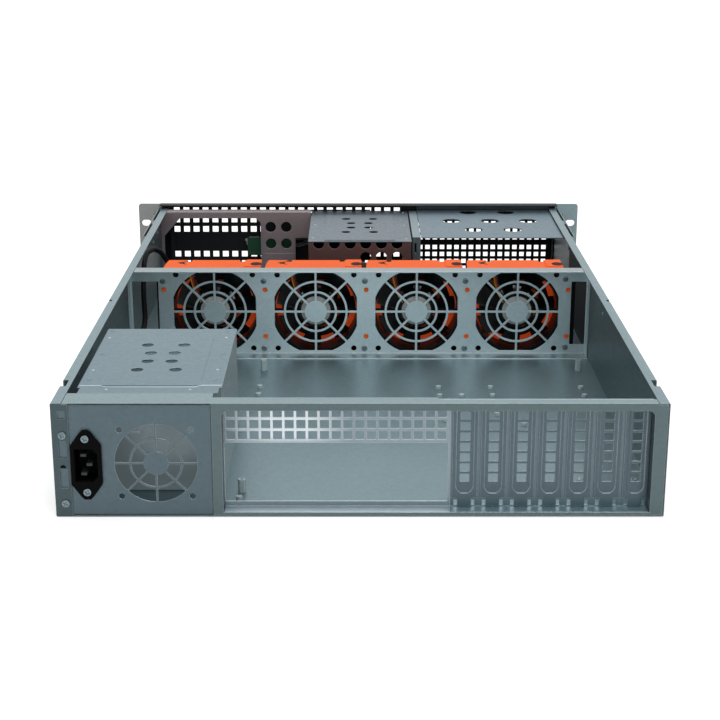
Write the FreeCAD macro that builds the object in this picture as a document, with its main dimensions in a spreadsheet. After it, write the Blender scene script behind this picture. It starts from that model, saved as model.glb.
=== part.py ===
"""Empty 2U rackmount server case for a 19-inch rack, lid off.

Frame: +X is to the right seen from the rear, +Y points to the front panel and +Z is up.
The origin is the middle of the tray's underside. Lengths are millimetres.
"""

import FreeCAD, Part
import math
import os
import Sketcher

doc = FreeCAD.newDocument("rack_case")

# Driving dimensions: alias, value, meaning. Depths called "from rear" start at the rear face.
SIZES = [
    ("case_width", 431.6, "outside width of the tray"),
    ("case_depth", 660.0, "rear face to the front of the front panel"),
    ("case_height", 85.0, "underside to the lid flanges"),
    ("gauge", 1.0, "thickness of the steel sheet"),
    ("seat_gap", 0.3, "gap left where loose pieces sit beside each other"),
    ("lid_flange", 7.6, "width of the flange along the top of each side wall"),
    ("rear_strip", 12.1, "width of the tray's folded strip at the rear left"),
    ("shelf_depth", 13.0, "depth of the shelf over the connector window"),
    ("slot_shelf_depth", 9.0, "depth of the shelf over the expansion slots"),
    ("inlet_shelf_depth", 22.0, "depth of the shelf over the inlet plate"),
    ("recess_depth", 12.0, "rear face to the recessed connector panel"),
    ("recess_left", -97.0, "left edge of the recess opening"),
    ("recess_low", 3.0, "lower edge of the recess opening"),
    ("recess_drop", 5.5, "lid flanges down to the upper edge of the recess opening"),
    ("recess_corner", 5.0, "corner radius of the recess opening"),
    ("window_left", -96.4, "left edge of the connector window"),
    ("window_width", 158.75, "width of the connector window"),
    ("window_low", 6.9, "lower edge of the connector window"),
    ("window_height", 44.45, "height of the connector window"),
    ("mesh_side", 6.4, "side of a square in the connector mesh"),
    ("mesh_pitch", 8.3, "pitch of the connector mesh"),
    ("mesh_low", 57.0, "middle of the lowest row of the connector mesh"),
    ("slot_pitch", 20.32, "pitch of the expansion slots"),
    ("slot_cover_space", 2.32, "space between neighbouring slot covers"),
    ("slot_middle", 135.3, "middle of the fourth slot"),
    ("slot_cover_low", 9.8, "lower end of a slot cover"),
    ("slot_channel_margin", 2.8, "side of a slot cover to its pressed channel"),
    ("slot_channel_low", 13.4, "lower end of the pressed channel"),
    ("slot_window_pitch", 7.77, "pitch of the windows in a slot cover"),
    ("slot_window_top", 71.8, "middle of the highest window in a slot cover"),
    ("inlet_middle", -192.5, "middle of the power inlet across the case"),
    ("inlet_height", 39.3, "middle of the power inlet above the underside"),
    ("grille_middle", -143.7, "middle of the inlet plate's grille"),
    ("grille_height", 40.2, "middle of the grille above the underside"),
    ("grille_radius", 29.2, "radius of the grille's opening"),
    ("cage_width", 103.6, "outside width of a drive cage"),
    ("cage_length", 147.0, "length of a drive cage"),
    ("cage_drop", 4.0, "lid flanges down to the top of a cage's walls"),
    ("rear_cage_middle", -152.0, "middle of the rear cage across the case"),
    ("rear_cage_start", 45.0, "start of the rear cage, from rear"),
    ("front_cage_middle", 1.2, "middle of the front cage across the case"),
    ("front_cage_setback", 154.0, "front of the case to the rear of the front cage"),
    ("fan_wall_start", 384.0, "rear face of the fan wall, from rear"),
    ("fan_space", 14.6, "space between neighbouring fans"),
    ("fan_row_middle", 6.7, "middle of the row of fans across the case"),
    ("fan_lift", 2.8, "height of the fans above the underside"),
    ("fan_side", 80.0, "side of a fan"),
    ("fan_thickness", 25.0, "thickness of a fan"),
    ("fan_hole_inset", 4.25, "side of a fan to the middle of its holes"),
    ("guard_margin", 1.0, "radius of a guard's opening less half a fan's side"),
    ("deck_left", 7.5, "reach of a carrier's deck past the left side of its fan"),
    ("deck_right", 3.0, "reach of a carrier's deck past the right side of its fan"),
    ("deck_drop", 1.0, "lid flanges down to the top of a carrier's deck"),
    ("bracket_setback", 29.0, "front of the case to the power supply bracket"),
    ("bay_plate_length", 135.0, "length of the plate over the large bay"),
    ("bay_plate_setback", 5.0, "front of the case to the plate over the large bay"),
    ("panel_rise", 3.9, "height of the front panel and the ears above the lid flanges"),
    ("panel_flange", 12.0, "depth of the flange along the top of the front panel"),
    ("panel_width", 438.0, "width of the front panel"),
    ("ear_span", 482.6, "overall width across the rack ears"),
    ("ear_hole_span", 466.7, "spacing of the rack slots across the case"),
    ("ear_slot_low", 23.1, "height of the lower rack slot"),
    ("ear_slot_spacing", 44.45, "spacing of the rack slots up an ear"),
    ("left_square", 6.5, "side of a square in the panel's left mesh"),
    ("left_pitch", 10.53, "pitch of the left mesh across"),
    ("left_rise", 10.6, "pitch of the left mesh upwards"),
    ("right_square", 5.0, "side of a square in the panel's right mesh"),
    ("right_pitch", 8.04, "pitch of the right mesh across"),
    ("right_rise", 7.9, "pitch of the right mesh upwards"),
    ("standoff_height", 10.0, "height of a board standoff"),
    ("handle_reach", 34.0, "reach of a handle in front of the ears"),
    ("lead_diameter", 5.0, "diameter of the internal power lead"),
]


class Dim:
    """A size that carries its number and the sheet expression that it comes from."""

    def __init__(self, number, text):
        self.number = number
        self.text = text

    def __add__(self, other):
        return Dim(self.number + number(other), f"({self.text} + {text(other)})")

    def __radd__(self, other):
        return Dim(number(other) + self.number, f"({text(other)} + {self.text})")

    def __sub__(self, other):
        return Dim(self.number - number(other), f"({self.text} - {text(other)})")

    def __rsub__(self, other):
        return Dim(number(other) - self.number, f"({text(other)} - {self.text})")

    def __mul__(self, other):
        return Dim(self.number * number(other), f"({self.text} * {text(other)})")

    def __rmul__(self, other):
        return self * other

    def __truediv__(self, other):
        return Dim(self.number / number(other), f"({self.text} / {text(other)})")

    def __neg__(self):
        return Dim(-self.number, f"(0 - {self.text})")


def number(value):
    return value.number if isinstance(value, Dim) else float(value)


def text(value):
    return value.text if isinstance(value, Dim) else f"({float(value):.6f})"


sheet = doc.addObject("Spreadsheet::Sheet", "Sizes")
size = {}
for row, (alias, value, meaning) in enumerate(SIZES, start=1):
    sheet.set(f"A{row}", str(value))
    sheet.setAlias(f"A{row}", alias)
    sheet.set(f"B{row}", meaning)
    size[alias] = Dim(value, f"Sizes.{alias}")
doc.recompute()

gauge = size["gauge"]
gap = size["seat_gap"]
height = size["case_height"]
half_width = size["case_width"] / 2
inner = half_width - gauge


def from_rear(distance):
    """The Y place of a depth measured forwards from the rear face."""
    return distance - size["case_depth"] / 2


def from_front(distance):
    """The Y place of a depth measured back from the front of the front panel."""
    return size["case_depth"] / 2 - distance


# ---- small helpers for Part objects -------------------------------------------------

nodes = []


def place(item, x, y, z):
    for axis, value in zip("xyz", (x, y, z)):
        item.setExpression(f"Placement.Base.{axis}", text(value))
    return item


def box(x, y, z):
    """A block between the two ends given for each axis."""
    item = doc.addObject("Part::Box", "box")
    for side, (low, high) in zip(("Length", "Width", "Height"), (x, y, z)):
        item.setExpression(side, text(high - low))
    return place(item, x[0], y[0], z[0])


TURNS = {
    "x": FreeCAD.Rotation(FreeCAD.Vector(0, 1, 0), 90),
    "y": FreeCAD.Rotation(FreeCAD.Vector(1, 0, 0), -90),
    "z": FreeCAD.Rotation(),
}


def cylinder(axis, x, y, z, radius, length):
    """A cylinder from (x, y, z) along the positive axis."""
    item = doc.addObject("Part::Cylinder", "cylinder")
    item.Placement.Rotation = TURNS[axis]
    item.setExpression("Radius", text(radius))
    item.setExpression("Height", text(length))
    return place(item, x, y, z)


def fuse(items):
    item = doc.addObject("Part::MultiFuse", "fusion")
    item.Shapes = items
    item.Refine = True
    return item


def cut(base, tools):
    item = doc.addObject("Part::Cut", "cut")
    item.Base = base
    item.Tool = tools[0] if len(tools) == 1 else fuse(tools)
    item.Refine = True
    return item


def common(first, second):
    item = doc.addObject("Part::Common", "common")
    item.Base = first
    item.Tool = second
    return item


def node(item, label):
    """Names a finished piece, which is then written to parts/label.step."""
    item.Label = label
    nodes.append(item)
    return item


# ---- small helpers for PartDesign bodies --------------------------------------------

PLANES = {"front": "XZ_Plane", "side": "YZ_Plane", "top": "XY_Plane"}


def new_body():
    return doc.addObject("PartDesign::Body", "body")


def sketch(body, view, at, loops):
    """A constrained sketch on one of the body's planes, set off to the coordinate at.

    A loop is a list of (x, y) corners, or (x, y, radius) for a circle.
    """
    item = body.newObject("Sketcher::SketchObject", "sketch")
    plane = [p for p in body.Origin.OriginFeatures if p.Role == PLANES[view]][0]
    item.AttachmentSupport = [(plane, "")]
    item.MapMode = "FlatFace"
    item.setExpression("AttachmentOffset.Base.z", text(-at if view == "front" else at))
    for loop in loops:
        if isinstance(loop, tuple):
            x, y, radius = loop
            centre = FreeCAD.Vector(number(x), number(y), 0)
            shape = Part.Circle(centre, FreeCAD.Vector(0, 0, 1), number(radius))
            index = item.addGeometry(shape)
            pin(item, index, 3, x, y)
            last = item.addConstraint(Sketcher.Constraint("Radius", index, number(radius)))
            item.setExpression(f"Constraints[{last}]", text(radius))
            continue
        corners = [FreeCAD.Vector(number(x), number(y), 0) for x, y in loop]
        lines = [
            item.addGeometry(Part.LineSegment(a, b))
            for a, b in zip(corners, corners[1:] + corners[:1])
        ]
        for line, after in zip(lines, lines[1:] + lines[:1]):
            item.addConstraint(Sketcher.Constraint("Coincident", line, 2, after, 1))
        for line, (x, y) in zip(lines, loop):
            pin(item, line, 1, x, y)
    return item


def pin(item, index, point, x, y):
    """Ties a sketch point to the sheet by its two distances from the origin."""
    for kind, value in (("DistanceX", x), ("DistanceY", y)):
        rule = Sketcher.Constraint(kind, -1, 1, index, point, number(value))
        last = item.addConstraint(rule)
        item.setExpression(f"Constraints[{last}]", text(value))


def pad(body, view, at, thickness, loops):
    """Adds a plate from the coordinate at towards the positive axis of its view."""
    item = body.newObject("PartDesign::Pad", "pad")
    item.Profile = sketch(body, view, at, loops)
    item.setExpression("Length", text(thickness))
    item.Reversed = view == "front"
    return item


def pocket(body, view, at, depth, loops):
    """Cuts from the coordinate at towards the positive axis of its view."""
    item = body.newObject("PartDesign::Pocket", "pocket")
    item.Profile = sketch(body, view, at, loops)
    item.setExpression("Length", text(depth))
    item.Reversed = view != "front"
    return item


def repeat(body, feature, across, columns, up=None, rows=1, axis="H_Axis"):
    """Repeats a feature along its sketch's axes and makes the result the body's tip."""
    item = body.newObject("PartDesign::LinearPattern", "pattern")
    item.Originals = [feature]
    item.Direction = (feature.Profile[0], [axis])
    item.Mode = "Spacing"
    item.setExpression("Offset", text(across))
    item.Occurrences = columns
    if rows > 1:
        item.Direction2 = (feature.Profile[0], ["V_Axis"])
        item.Mode2 = "Spacing"
        item.setExpression("Offset2", text(up))
        item.Occurrences2 = rows
        # Each of these would otherwise start as a spacing of nothing.
        item.Spacings2 = [-1.0] * (rows - 1)
    body.Tip = item
    doc.recompute()
    return item


def round_edges(body, radius, chosen):
    """Rounds the edges of the body's last feature that the chosen test picks."""
    doc.recompute()
    base = body.Tip
    edges = [f"Edge{i}" for i, e in enumerate(base.Shape.Edges, start=1) if chosen(e)]
    item = body.newObject("PartDesign::Fillet", "fillet")
    item.Base = (base, edges)
    item.setExpression("Radius", text(radius))
    return item


def rectangle(x, y):
    return [(x[0], y[0]), (x[1], y[0]), (x[1], y[1]), (x[0], y[1])]


def along(edge, axis, length):
    """True for a straight edge at least that long which runs along one axis."""
    span = [edge.BoundBox.XLength, edge.BoundBox.YLength, edge.BoundBox.ZLength]
    rest = [s for i, s in enumerate(span) if i != "xyz".index(axis)]
    return span["xyz".index(axis)] >= length and max(rest) < 1e-4


# ---- chassis tray: floor, side walls and lid flanges folded from one sheet ----------

rear = from_rear(0.0)
tray_end = from_rear(size["case_depth"] - 4.0)
flange_edge = half_width - size["lid_flange"]
strip_edge = -(half_width - size["rear_strip"])
ear_rear = tray_end + 0.5

tray = new_body()
profile = [
    (-half_width, 0.0), (half_width, 0.0), (half_width, height), (flange_edge, height),
    (flange_edge, height - gauge), (inner, height - gauge), (inner, gauge), (-inner, gauge),
    (-inner, height - gauge), (-flange_edge, height - gauge), (-flange_edge, height),
    (-half_width, height),
]
pad(tray, "front", rear, tray_end - rear, [profile])
round_edges(
    tray,
    gauge * 0.9,
    lambda e: along(e, "y", 200) and abs(abs(e.BoundBox.XMin) - half_width.number) < 0.01,
)
pad(tray, "front", rear, gauge, [rectangle((-inner - 0.2, strip_edge), (gauge / 2, height - gauge))])

# Slots in the strip let the inlet plate behind it be shifted before its screws are tightened.
slot_left = strip_edge - 7.6
slot_right = strip_edge - 2.4
strip_screw_x = strip_edge - 4.8
strip_screw_heights = (10.1, 61.3)
strip_slots = [(21.8, 35.9), (44.5, 57.1), (73.2, 79.2)]
pocket(
    tray, "front", rear - 1.0, gauge + 2.0,
    [rectangle((slot_left, slot_right), ends) for ends in strip_slots]
    + [(strip_screw_x, z, 1.6) for z in strip_screw_heights],
)

# Lid hooks drop into notches in the outer edge of both flanges.
for start, length, depth in ((38.0, 14.0, 4.5), (267.0, 6.0, 3.0)):
    y = (from_rear(start), from_rear(start + length))
    for side in (-1.0, 1.0):
        edge = half_width * side
        pocket(
            tray, "top", height - 5.0, 10.0,
            [rectangle(sorted([edge + 1.0 * side, edge - depth * side], key=number), y)],
        )
node(tray, "chassis_tray")


# ---- rear frame: the face round the connector recess, with its shelf -----------------

cover_width = size["slot_pitch"] - size["slot_cover_space"]
left, low, high = size["recess_left"], size["recess_low"], height - size["recess_drop"]
right = size["slot_middle"] + size["slot_pitch"] * 3 + cover_width / 2 + 0.24
window_left = size["window_left"]
window_right = window_left + size["window_width"]
frame_left = left - 7.0
frame_right = inner - gap
panel_face = rear + size["recess_depth"]
shelf_edge = flange_edge - 0.5

rear_frame = new_body()
pad(rear_frame, "front", rear, gauge, [rectangle((frame_left, frame_right), (gauge, height - gauge))])
pocket(rear_frame, "front", rear - 1.0, gauge + 2.0, [rectangle((left, right), (low, high))])
round_edges(
    rear_frame,
    size["recess_corner"],
    lambda e: along(e, "y", 0.5) and abs(e.BoundBox.ZMin - high.number) < 0.5
    and left.number - 1 < e.BoundBox.XMin < right.number + 1,
)
# The shelf runs the whole width and is deeper over the inlet plate.
shelf = [
    (-shelf_edge, rear), (shelf_edge, rear), (shelf_edge, rear + size["slot_shelf_depth"]),
    (window_right - 6.0, rear + size["slot_shelf_depth"]), (window_right - 8.0, rear + size["shelf_depth"]),
    (frame_left, rear + size["shelf_depth"]), (frame_left, rear + size["inlet_shelf_depth"]),
    (-shelf_edge, rear + size["inlet_shelf_depth"]),
]
pad(rear_frame, "top", height - gauge, gauge, [shelf])
# Upright returns close the two ends of the recess.
ends = [rectangle((left - gauge, left), (gauge + gap, height - gauge))]
ends.append(rectangle((right, right + gauge), (gauge + gap, height - gauge)))
pad(rear_frame, "front", rear + gauge / 2, size["recess_depth"] - gauge / 2 - gap, ends)
node(rear_frame, "rear_frame")


# ---- connector panel and slot panel: recessed plates, each with its part of the ledge --

window_low = size["window_low"]
slot_count = 7
first_slot = size["slot_middle"] - size["slot_pitch"] * (slot_count - 1) / 2
channel_half = cover_width / 2 - size["slot_channel_margin"]
aperture = channel_half + 0.8
aperture_low = size["slot_channel_low"] - 1.6

seam = window_right + 1.8
connector_panel = new_body()
slot_panel = new_body()
for panel, sides in (
    (connector_panel, (left - gauge, seam)), (slot_panel, (seam + gap, right + gauge)),
):
    pad(panel, "front", panel_face, gauge, [rectangle(sides, (gauge + gap, height - gauge))])
    # The ledge stays inside the upright returns of the recess.
    inset = [gauge + gap if panel is connector_panel else 0.0, 0.0 if panel is connector_panel else gauge + gap]
    ledge = rectangle((sides[0] + inset[0], sides[1] - inset[1]), (low - gauge, low))
    pad(panel, "front", rear + gauge + gap, size["recess_depth"] - gauge, [ledge])
window = rectangle((window_left, window_right), (window_low, window_low + size["window_height"]))
pocket(connector_panel, "front", panel_face - 0.5, gauge + 1.0, [window])
# One square of the mesh, repeated across and up.
mesh_columns = 19
mesh_rows = 3
square = size["mesh_side"]
mesh_start = window_left + (size["window_width"] - size["mesh_pitch"] * (mesh_columns - 1) - square) / 2
first = rectangle(
    (mesh_start, mesh_start + square),
    (size["mesh_low"] - square / 2, size["mesh_low"] + square / 2),
)
hole = pocket(connector_panel, "front", panel_face - 0.5, gauge + 1.0, [first])
repeat(connector_panel, hole, size["mesh_pitch"], mesh_columns, size["mesh_pitch"], mesh_rows)
# An aperture behind each slot cover, and the pocket below it for the cover's tongue.
openings = [
    rectangle((first_slot - aperture, first_slot + aperture), (aperture_low, high + 1.0)),
    rectangle((first_slot - 7.5, first_slot + 7.5), (low + 1.2, low + 5.0)),
]
hole = pocket(slot_panel, "front", panel_face - 0.5, gauge + 1.0, openings)
repeat(slot_panel, hole, size["slot_pitch"], slot_count)
node(connector_panel, "connector_panel")
node(slot_panel, "slot_panel")


# ---- slot covers: pressed strips with a channel and seven square windows -------------

cover_gauge = gauge * 0.8
cover_face = panel_face - cover_gauge - gap
window_half = (3.35, 2.9)
cover_top = height - gauge - gap
press = 0.6

for i in range(slot_count):
    middle = first_slot + size["slot_pitch"] * i
    sides = (middle - cover_width / 2, middle + cover_width / 2)
    base = size["slot_channel_low"]
    corner = channel_half * 0.45
    channel = [
        (middle - channel_half, base + corner * 1.6), (middle - channel_half + corner * 0.5, base + corner * 0.6),
        (middle - corner * 0.9, base), (middle + corner * 0.9, base),
        (middle + channel_half - corner * 0.5, base + corner * 0.6), (middle + channel_half, base + corner * 1.6),
        (middle + channel_half, high), (middle - channel_half, high),
    ]
    cover = new_body()
    pad(cover, "front", cover_face, cover_gauge, [rectangle(sides, (size["slot_cover_low"], cover_top))])
    pad(cover, "front", cover_face + cover_gauge / 2, cover_gauge / 2 + press, [channel])
    pocket(cover, "front", cover_face - 1.0, press + 1.0, [channel])
    lowest = size["slot_window_top"] - size["slot_window_pitch"] * 6
    pane = rectangle(
        (middle - window_half[0], middle + window_half[0]), (lowest - window_half[1], lowest + window_half[1])
    )
    hole = pocket(cover, "front", cover_face - 1.0, 5.0, [pane])
    repeat(cover, hole, size["slot_window_pitch"], 7, axis="V_Axis")
    # The tongue below stands in front of its pocket, and the tab above lies under the shelf.
    tongue = rectangle((middle - 5.0, middle + 5.0), (low + gap, size["slot_cover_low"] + 0.5))
    pad(cover, "front", cover_face, cover_gauge, [tongue])
    tab = rectangle(sides, (cover_top - cover_gauge, cover_top))
    pad(cover, "front", rear + gauge + gap, cover_face - rear - gauge, [tab])
    node(cover, f"slot_cover_{i + 1}")


# ---- stamped guards: rings, hub and spokes left standing in a round opening ----------

def stamped_guard(x, z, y, thickness, opening, rings, hub, bar, flats=None, spokes=8):
    """The windows of a guard, as one cutter: an opening less its rings, hub and spokes."""
    low, deep = y - 0.5, thickness + 1.0
    field = cylinder("y", x, low, z, opening, deep)
    if flats:
        field = common(field, box((x - flats[0], x + flats[0]), (low, low + deep), (z - flats[1], z + flats[1])))
    kept = [cylinder("y", x, low, z, hub, deep)]
    for outer in rings:
        ring = cylinder("y", x, low, z, outer, deep)
        kept.append(cut(ring, [cylinder("y", x, low - 0.5, z, outer - bar, deep + 1.0)]))
    reach = opening + 1.0
    for i in range(spokes // 2):
        beam = box((x, x + bar), (low, low + deep), (z, z + 2 * reach))
        angle = 2 * math.pi * i / spokes
        c, s = math.cos(angle), math.sin(angle)
        # The box turns about its own corner, so that corner is put where the turn takes it.
        beam.Placement.Rotation = FreeCAD.Rotation(FreeCAD.Vector(0, 1, 0), math.degrees(angle))
        place(beam, x - bar / 2 * c - reach * s, low, z + bar / 2 * s - reach * c)
        kept.append(beam)
    return cut(field, kept)


# ---- inlet plate: carries the power inlet and the small grille ----------------------

plate_face = rear + gauge
plate_left = -inner + gap
plate_right = frame_left - 0.5
plate_top = height - gauge - 0.5
inlet_x, inlet_z = size["inlet_middle"], size["inlet_height"]
grille_x, grille_z = size["grille_middle"], size["grille_height"]

sheet_steel = [
    box((plate_left, plate_right), (plate_face, plate_face + gauge), (gauge + gap, plate_top)),
    box((plate_right - gauge, plate_right), (plate_face, plate_face + 14.0), (gauge + gap, plate_top)),
    box((plate_left, plate_right), (plate_face, plate_face + 14.0), (plate_top - gauge, plate_top)),
]
grille = stamped_guard(
    grille_x, grille_z, plate_face, gauge, size["grille_radius"],
    [size["grille_radius"] * 0.65], 8.8, 1.6,
)
holes = [grille]
for dx in (-25.0, 25.0):
    for dz in (-25.0, 25.0):
        holes.append(cylinder("y", grille_x + dx, plate_face - 0.5, grille_z + dz, 2.2, gauge + 1.0))
for z in strip_screw_heights:
    holes.append(cylinder("y", strip_screw_x, plate_face - 0.5, z, 1.3, gauge + 1.0))
for dz in (-20.0, 20.0):
    holes.append(cylinder("y", inlet_x, plate_face - 0.5, inlet_z + dz, 1.3, gauge + 1.0))
holes.append(box((inlet_x - 10.2, inlet_x + 10.2), (plate_face - 0.5, plate_face + 1.5), (inlet_z - 13.8, inlet_z + 13.8)))
node(cut(fuse(sheet_steel), holes), "inlet_plate")


# ---- power inlet: moulded socket screwed to the plate, with its contacts -------------

flange_half = 10.85
shoulder = 14.3
apex = 25.6
outline = [
    (-flange_half, -shoulder), (-4.4, -apex + 2.2), (-2.2, -apex), (2.2, -apex), (4.4, -apex + 2.2),
    (flange_half, -shoulder), (flange_half, shoulder), (4.4, apex - 2.2), (2.2, apex),
    (-2.2, apex), (-4.4, apex - 2.2), (-flange_half, shoulder),
]
inlet_front = plate_face - 2.6
well = [
    (-8.1, -12.2), (4.6, -12.2), (8.1, -8.4), (8.1, 8.4), (4.6, 12.2), (-8.1, 12.2),
]
inlet = new_body()
pad(inlet, "front", inlet_front, 2.6, [[(inlet_x + x, inlet_z + z) for x, z in outline]])
pad(inlet, "front", plate_face - 0.5, 18.0, [rectangle((inlet_x - 10.0, inlet_x + 10.0), (inlet_z - 13.6, inlet_z + 13.6))])
pocket(inlet, "front", inlet_front - 1.0, 17.0, [[(inlet_x + x, inlet_z + z) for x, z in well]])
contact_places = ((-2.0, 7.0), (2.0, 0.0), (-2.0, -7.0))
slits = [
    rectangle((inlet_x + dx - 2.1, inlet_x + dx + 2.1), (inlet_z + dz - 1.1, inlet_z + dz + 1.1))
    for dx, dz in contact_places
]
pocket(inlet, "front", inlet_front + 15.0, 8.0, slits)
inlet_screw_reach = 20.0
pocket(
    inlet, "front", inlet_front - 1.0, 6.0,
    [(inlet_x, inlet_z - inlet_screw_reach, 1.7), (inlet_x, inlet_z + inlet_screw_reach, 1.7)],
)
node(inlet, "power_inlet")

blades = []
for dx, dz in contact_places:
    x, z = inlet_x + dx, inlet_z + dz
    blades.append(box((x - 2.0, x + 2.0), (inlet_front + 2.0, inlet_front + 28.0), (z - 1.0, z + 1.0)))
node(fuse(blades), "inlet_contacts")


# ---- drive cages: folded bodies, each with a pressed cover --------------------------

cage_top = height - size["cage_drop"]


def cage_body(middle, start, front_face):
    """Two side walls and a raised floor, folded from one sheet, open at the front."""
    y = (from_rear(start), from_rear(start + size["cage_length"]))
    top = cage_top
    outer = (middle - size["cage_width"] / 2, middle + size["cage_width"] / 2)
    walls = [
        box((outer[0], outer[0] + gauge), y, (gauge, top)),
        box((outer[1] - gauge, outer[1]), y, (gauge, top)),
        box(outer, y, (gauge + 2.0, 2 * gauge + 2.0)),
        box(outer, (y[0], y[0] + gauge), front_face),
    ]
    slots = []
    for x in (outer[0] - 0.5, outer[1] - gauge - 0.5):
        for step in (14.0, 60.0, 120.0):
            for z in (28.0, 62.0):
                slots.append(box((x, x + gauge + 1.0), (y[0] + step, y[0] + step + 4.0), (z, z + 9.0)))
    return walls, slots


def cage_cover(middle, start, overhang, lip):
    """A flat cover with a raised middle, eight round holes and a lip at its rear edge."""
    y = (from_rear(start), from_rear(start + size["cage_length"] + overhang))
    low = cage_top
    sides = (middle - size["cage_width"] / 2 - 0.4, middle + size["cage_width"] / 2 + 0.4)
    raised = (middle - 35.5, middle + 35.5)
    rise = 0.7
    plate = [box(sides, y, (low, low + gauge)), box(raised, (y[0] + 4.0, y[1] - 26.0), (low + gauge / 2, low + gauge + rise))]
    holes = [box((raised[0] + gauge, raised[1] - gauge), (y[0] + 4.0 + gauge, y[1] - 26.0 - gauge), (low - 1.0, low + rise))]
    for step, reach in ((40.0, 14.3), (61.0, 9.1), (82.0, 9.1), (103.0, 14.3)):
        for side in (-reach, reach):
            holes.append(cylinder("z", middle + side, y[0] + step, low - 0.5, 4.7, gauge + 2.0))
    if lip:
        plate.append(box((sides[0] + 2.0, sides[1] - 2.0), (y[0] - 12.0, y[0] + 1.0), (low, low + gauge)))
    return cut(fuse(plate), holes)


rear_cage_x, rear_cage_y = size["rear_cage_middle"], size["rear_cage_start"]
walls, slots = cage_body(rear_cage_x, rear_cage_y, (2 * gauge, cage_top))
# A finger slot in the rear wall shows through the grille.
slots.append(box(
    (rear_cage_x - 15.0, rear_cage_x - 8.0),
    (from_rear(rear_cage_y) - 0.5, from_rear(rear_cage_y) + gauge + 0.5), (46.0, 48.5),
))
node(cut(fuse(walls), slots), "rear_cage")
node(cage_cover(rear_cage_x, rear_cage_y - 1.5, 3.0, True), "rear_cage_cover")

front_cage_x = size["front_cage_middle"]
front_cage_y = size["case_depth"] - size["front_cage_setback"]
walls, slots = cage_body(front_cage_x, front_cage_y, (gauge, cage_top))
# A lip hangs from the cover line at the front, where the drives stop.
lip_y = from_rear(front_cage_y + size["cage_length"])
walls.append(box(
    (front_cage_x - size["cage_width"] / 2, front_cage_x + size["cage_width"] / 2),
    (lip_y - gauge, lip_y), (cage_top - 15.0, cage_top),
))
for column in range(6):
    # The upper row is complete; the lower one has its three right-hand holes only.
    for drop in (1.4, 15.6) if column > 2 else (1.4,):
        x = front_cage_x - 41.5 + 15.8 * column
        slots.append(cylinder("y", x, from_rear(front_cage_y) - 0.5, cage_top - drop, 5.5, gauge + 1.0))
node(cut(fuse(walls), slots), "front_cage")
node(cage_cover(front_cage_x, front_cage_y - 0.5, 1.0, False), "front_cage_cover")


# ---- fan wall: four stamped guards between two cable windows ------------------------

wall_face = from_rear(size["fan_wall_start"])
wall_left, wall_right = -inner + gap, inner - gap
wall_top = height
fan_count = 4
fan_half = size["fan_side"] / 2
fan_z = size["fan_lift"] + fan_half
fan_pitch = size["fan_side"] + size["fan_space"]
hole_reach = fan_half - size["fan_hole_inset"]
fan_places = [
    size["fan_row_middle"] + fan_pitch * (i - (fan_count - 1) / 2) for i in range(fan_count)
]
rail_places = [
    size["fan_row_middle"] + fan_pitch * (i - fan_count / 2) for i in range(fan_count + 1)
]
peg_heights = (18.8, 64.0)
peg_radius = 2.1

steel = [
    box((wall_left, wall_right), (wall_face, wall_face + gauge), (gauge, wall_top - gauge - gap)),
    box((-shelf_edge, shelf_edge), (wall_face, wall_face + gauge), (wall_top - 2 * gauge, wall_top)),
    box((-shelf_edge, shelf_edge), (wall_face - 14.0, wall_face + gauge), (wall_top - gauge, wall_top)),
    box((wall_left, wall_right), (wall_face - 16.0, wall_face + gauge), (gauge, 2 * gauge)),
    box((wall_left, wall_left + gauge), (wall_face - 12.0, wall_face + gauge), (gauge, wall_top - 4.0)),
    box((wall_right - gauge, wall_right), (wall_face - 12.0, wall_face + gauge), (gauge, wall_top - 4.0)),
]
cutters = [
    box((wall_left + 2.5, rail_places[0] - 5.0), (wall_face - 0.5, wall_face + gauge + 0.5), (11.0, 72.0)),
    box((rail_places[-1] + 2.8, wall_right - 1.6), (wall_face - 0.5, wall_face + gauge + 0.5), (11.0, 72.0)),
]
for x in fan_places:
    cutters.append(stamped_guard(
        x, fan_z, wall_face, gauge, fan_half + size["guard_margin"], [30.0, 20.0], 10.6, 2.0,
        flats=(fan_half - 1.4, fan_half - 2.0),
    ))
    for dx in (-1.0, 1.0):
        for dz in (-1.0, 1.0):
            hole = (x + hole_reach * dx, fan_z + hole_reach * dz)
            cutters.append(cylinder("y", hole[0], wall_face - 0.5, hole[1], 2.6, gauge + 1.0))
for x in rail_places:
    for z in peg_heights:
        cutters.append(cylinder("y", x, wall_face - 0.5, z, peg_radius + 0.1, gauge + 1.0))
node(cut(fuse(steel), cutters), "fan_wall")


# ---- guide rails: moulded tees between the carriers, with pegs through the wall ------

rail_base = wall_face + gauge
for i, x in enumerate(rail_places):
    parts = [
        box((x - 6.0, x + 6.0), (rail_base, rail_base + 1.4), (4.0, height - 7.0)),
        box((x - 1.1, x + 1.1), (rail_base + 1.0, rail_base + 14.0), (4.0, height - 7.0)),
    ]
    for z in peg_heights:
        peg = doc.addObject("Part::Prism", "peg")
        peg.Polygon = 8
        peg.Placement.Rotation = TURNS["y"]
        peg.setExpression("Circumradius", text(peg_radius))
        peg.setExpression("Height", text(gauge + 1.4))
        parts.append(place(peg, x, wall_face - 0.8, z))
    node(fuse(parts), f"guide_rail_{i + 1}")


# ---- fan carriers: moulded frames that hold a fan and lift out by their decks --------

carrier_y = (rail_base + 2.0, rail_base + 34.0)
deck_top = height - size["deck_drop"]
deck_left = fan_half + size["deck_left"]
deck_right = fan_half + size["deck_right"]
fan_y = (carrier_y[0] + 1.5, carrier_y[0] + 1.5 + size["fan_thickness"])
floor_top = gauge + gap

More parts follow.
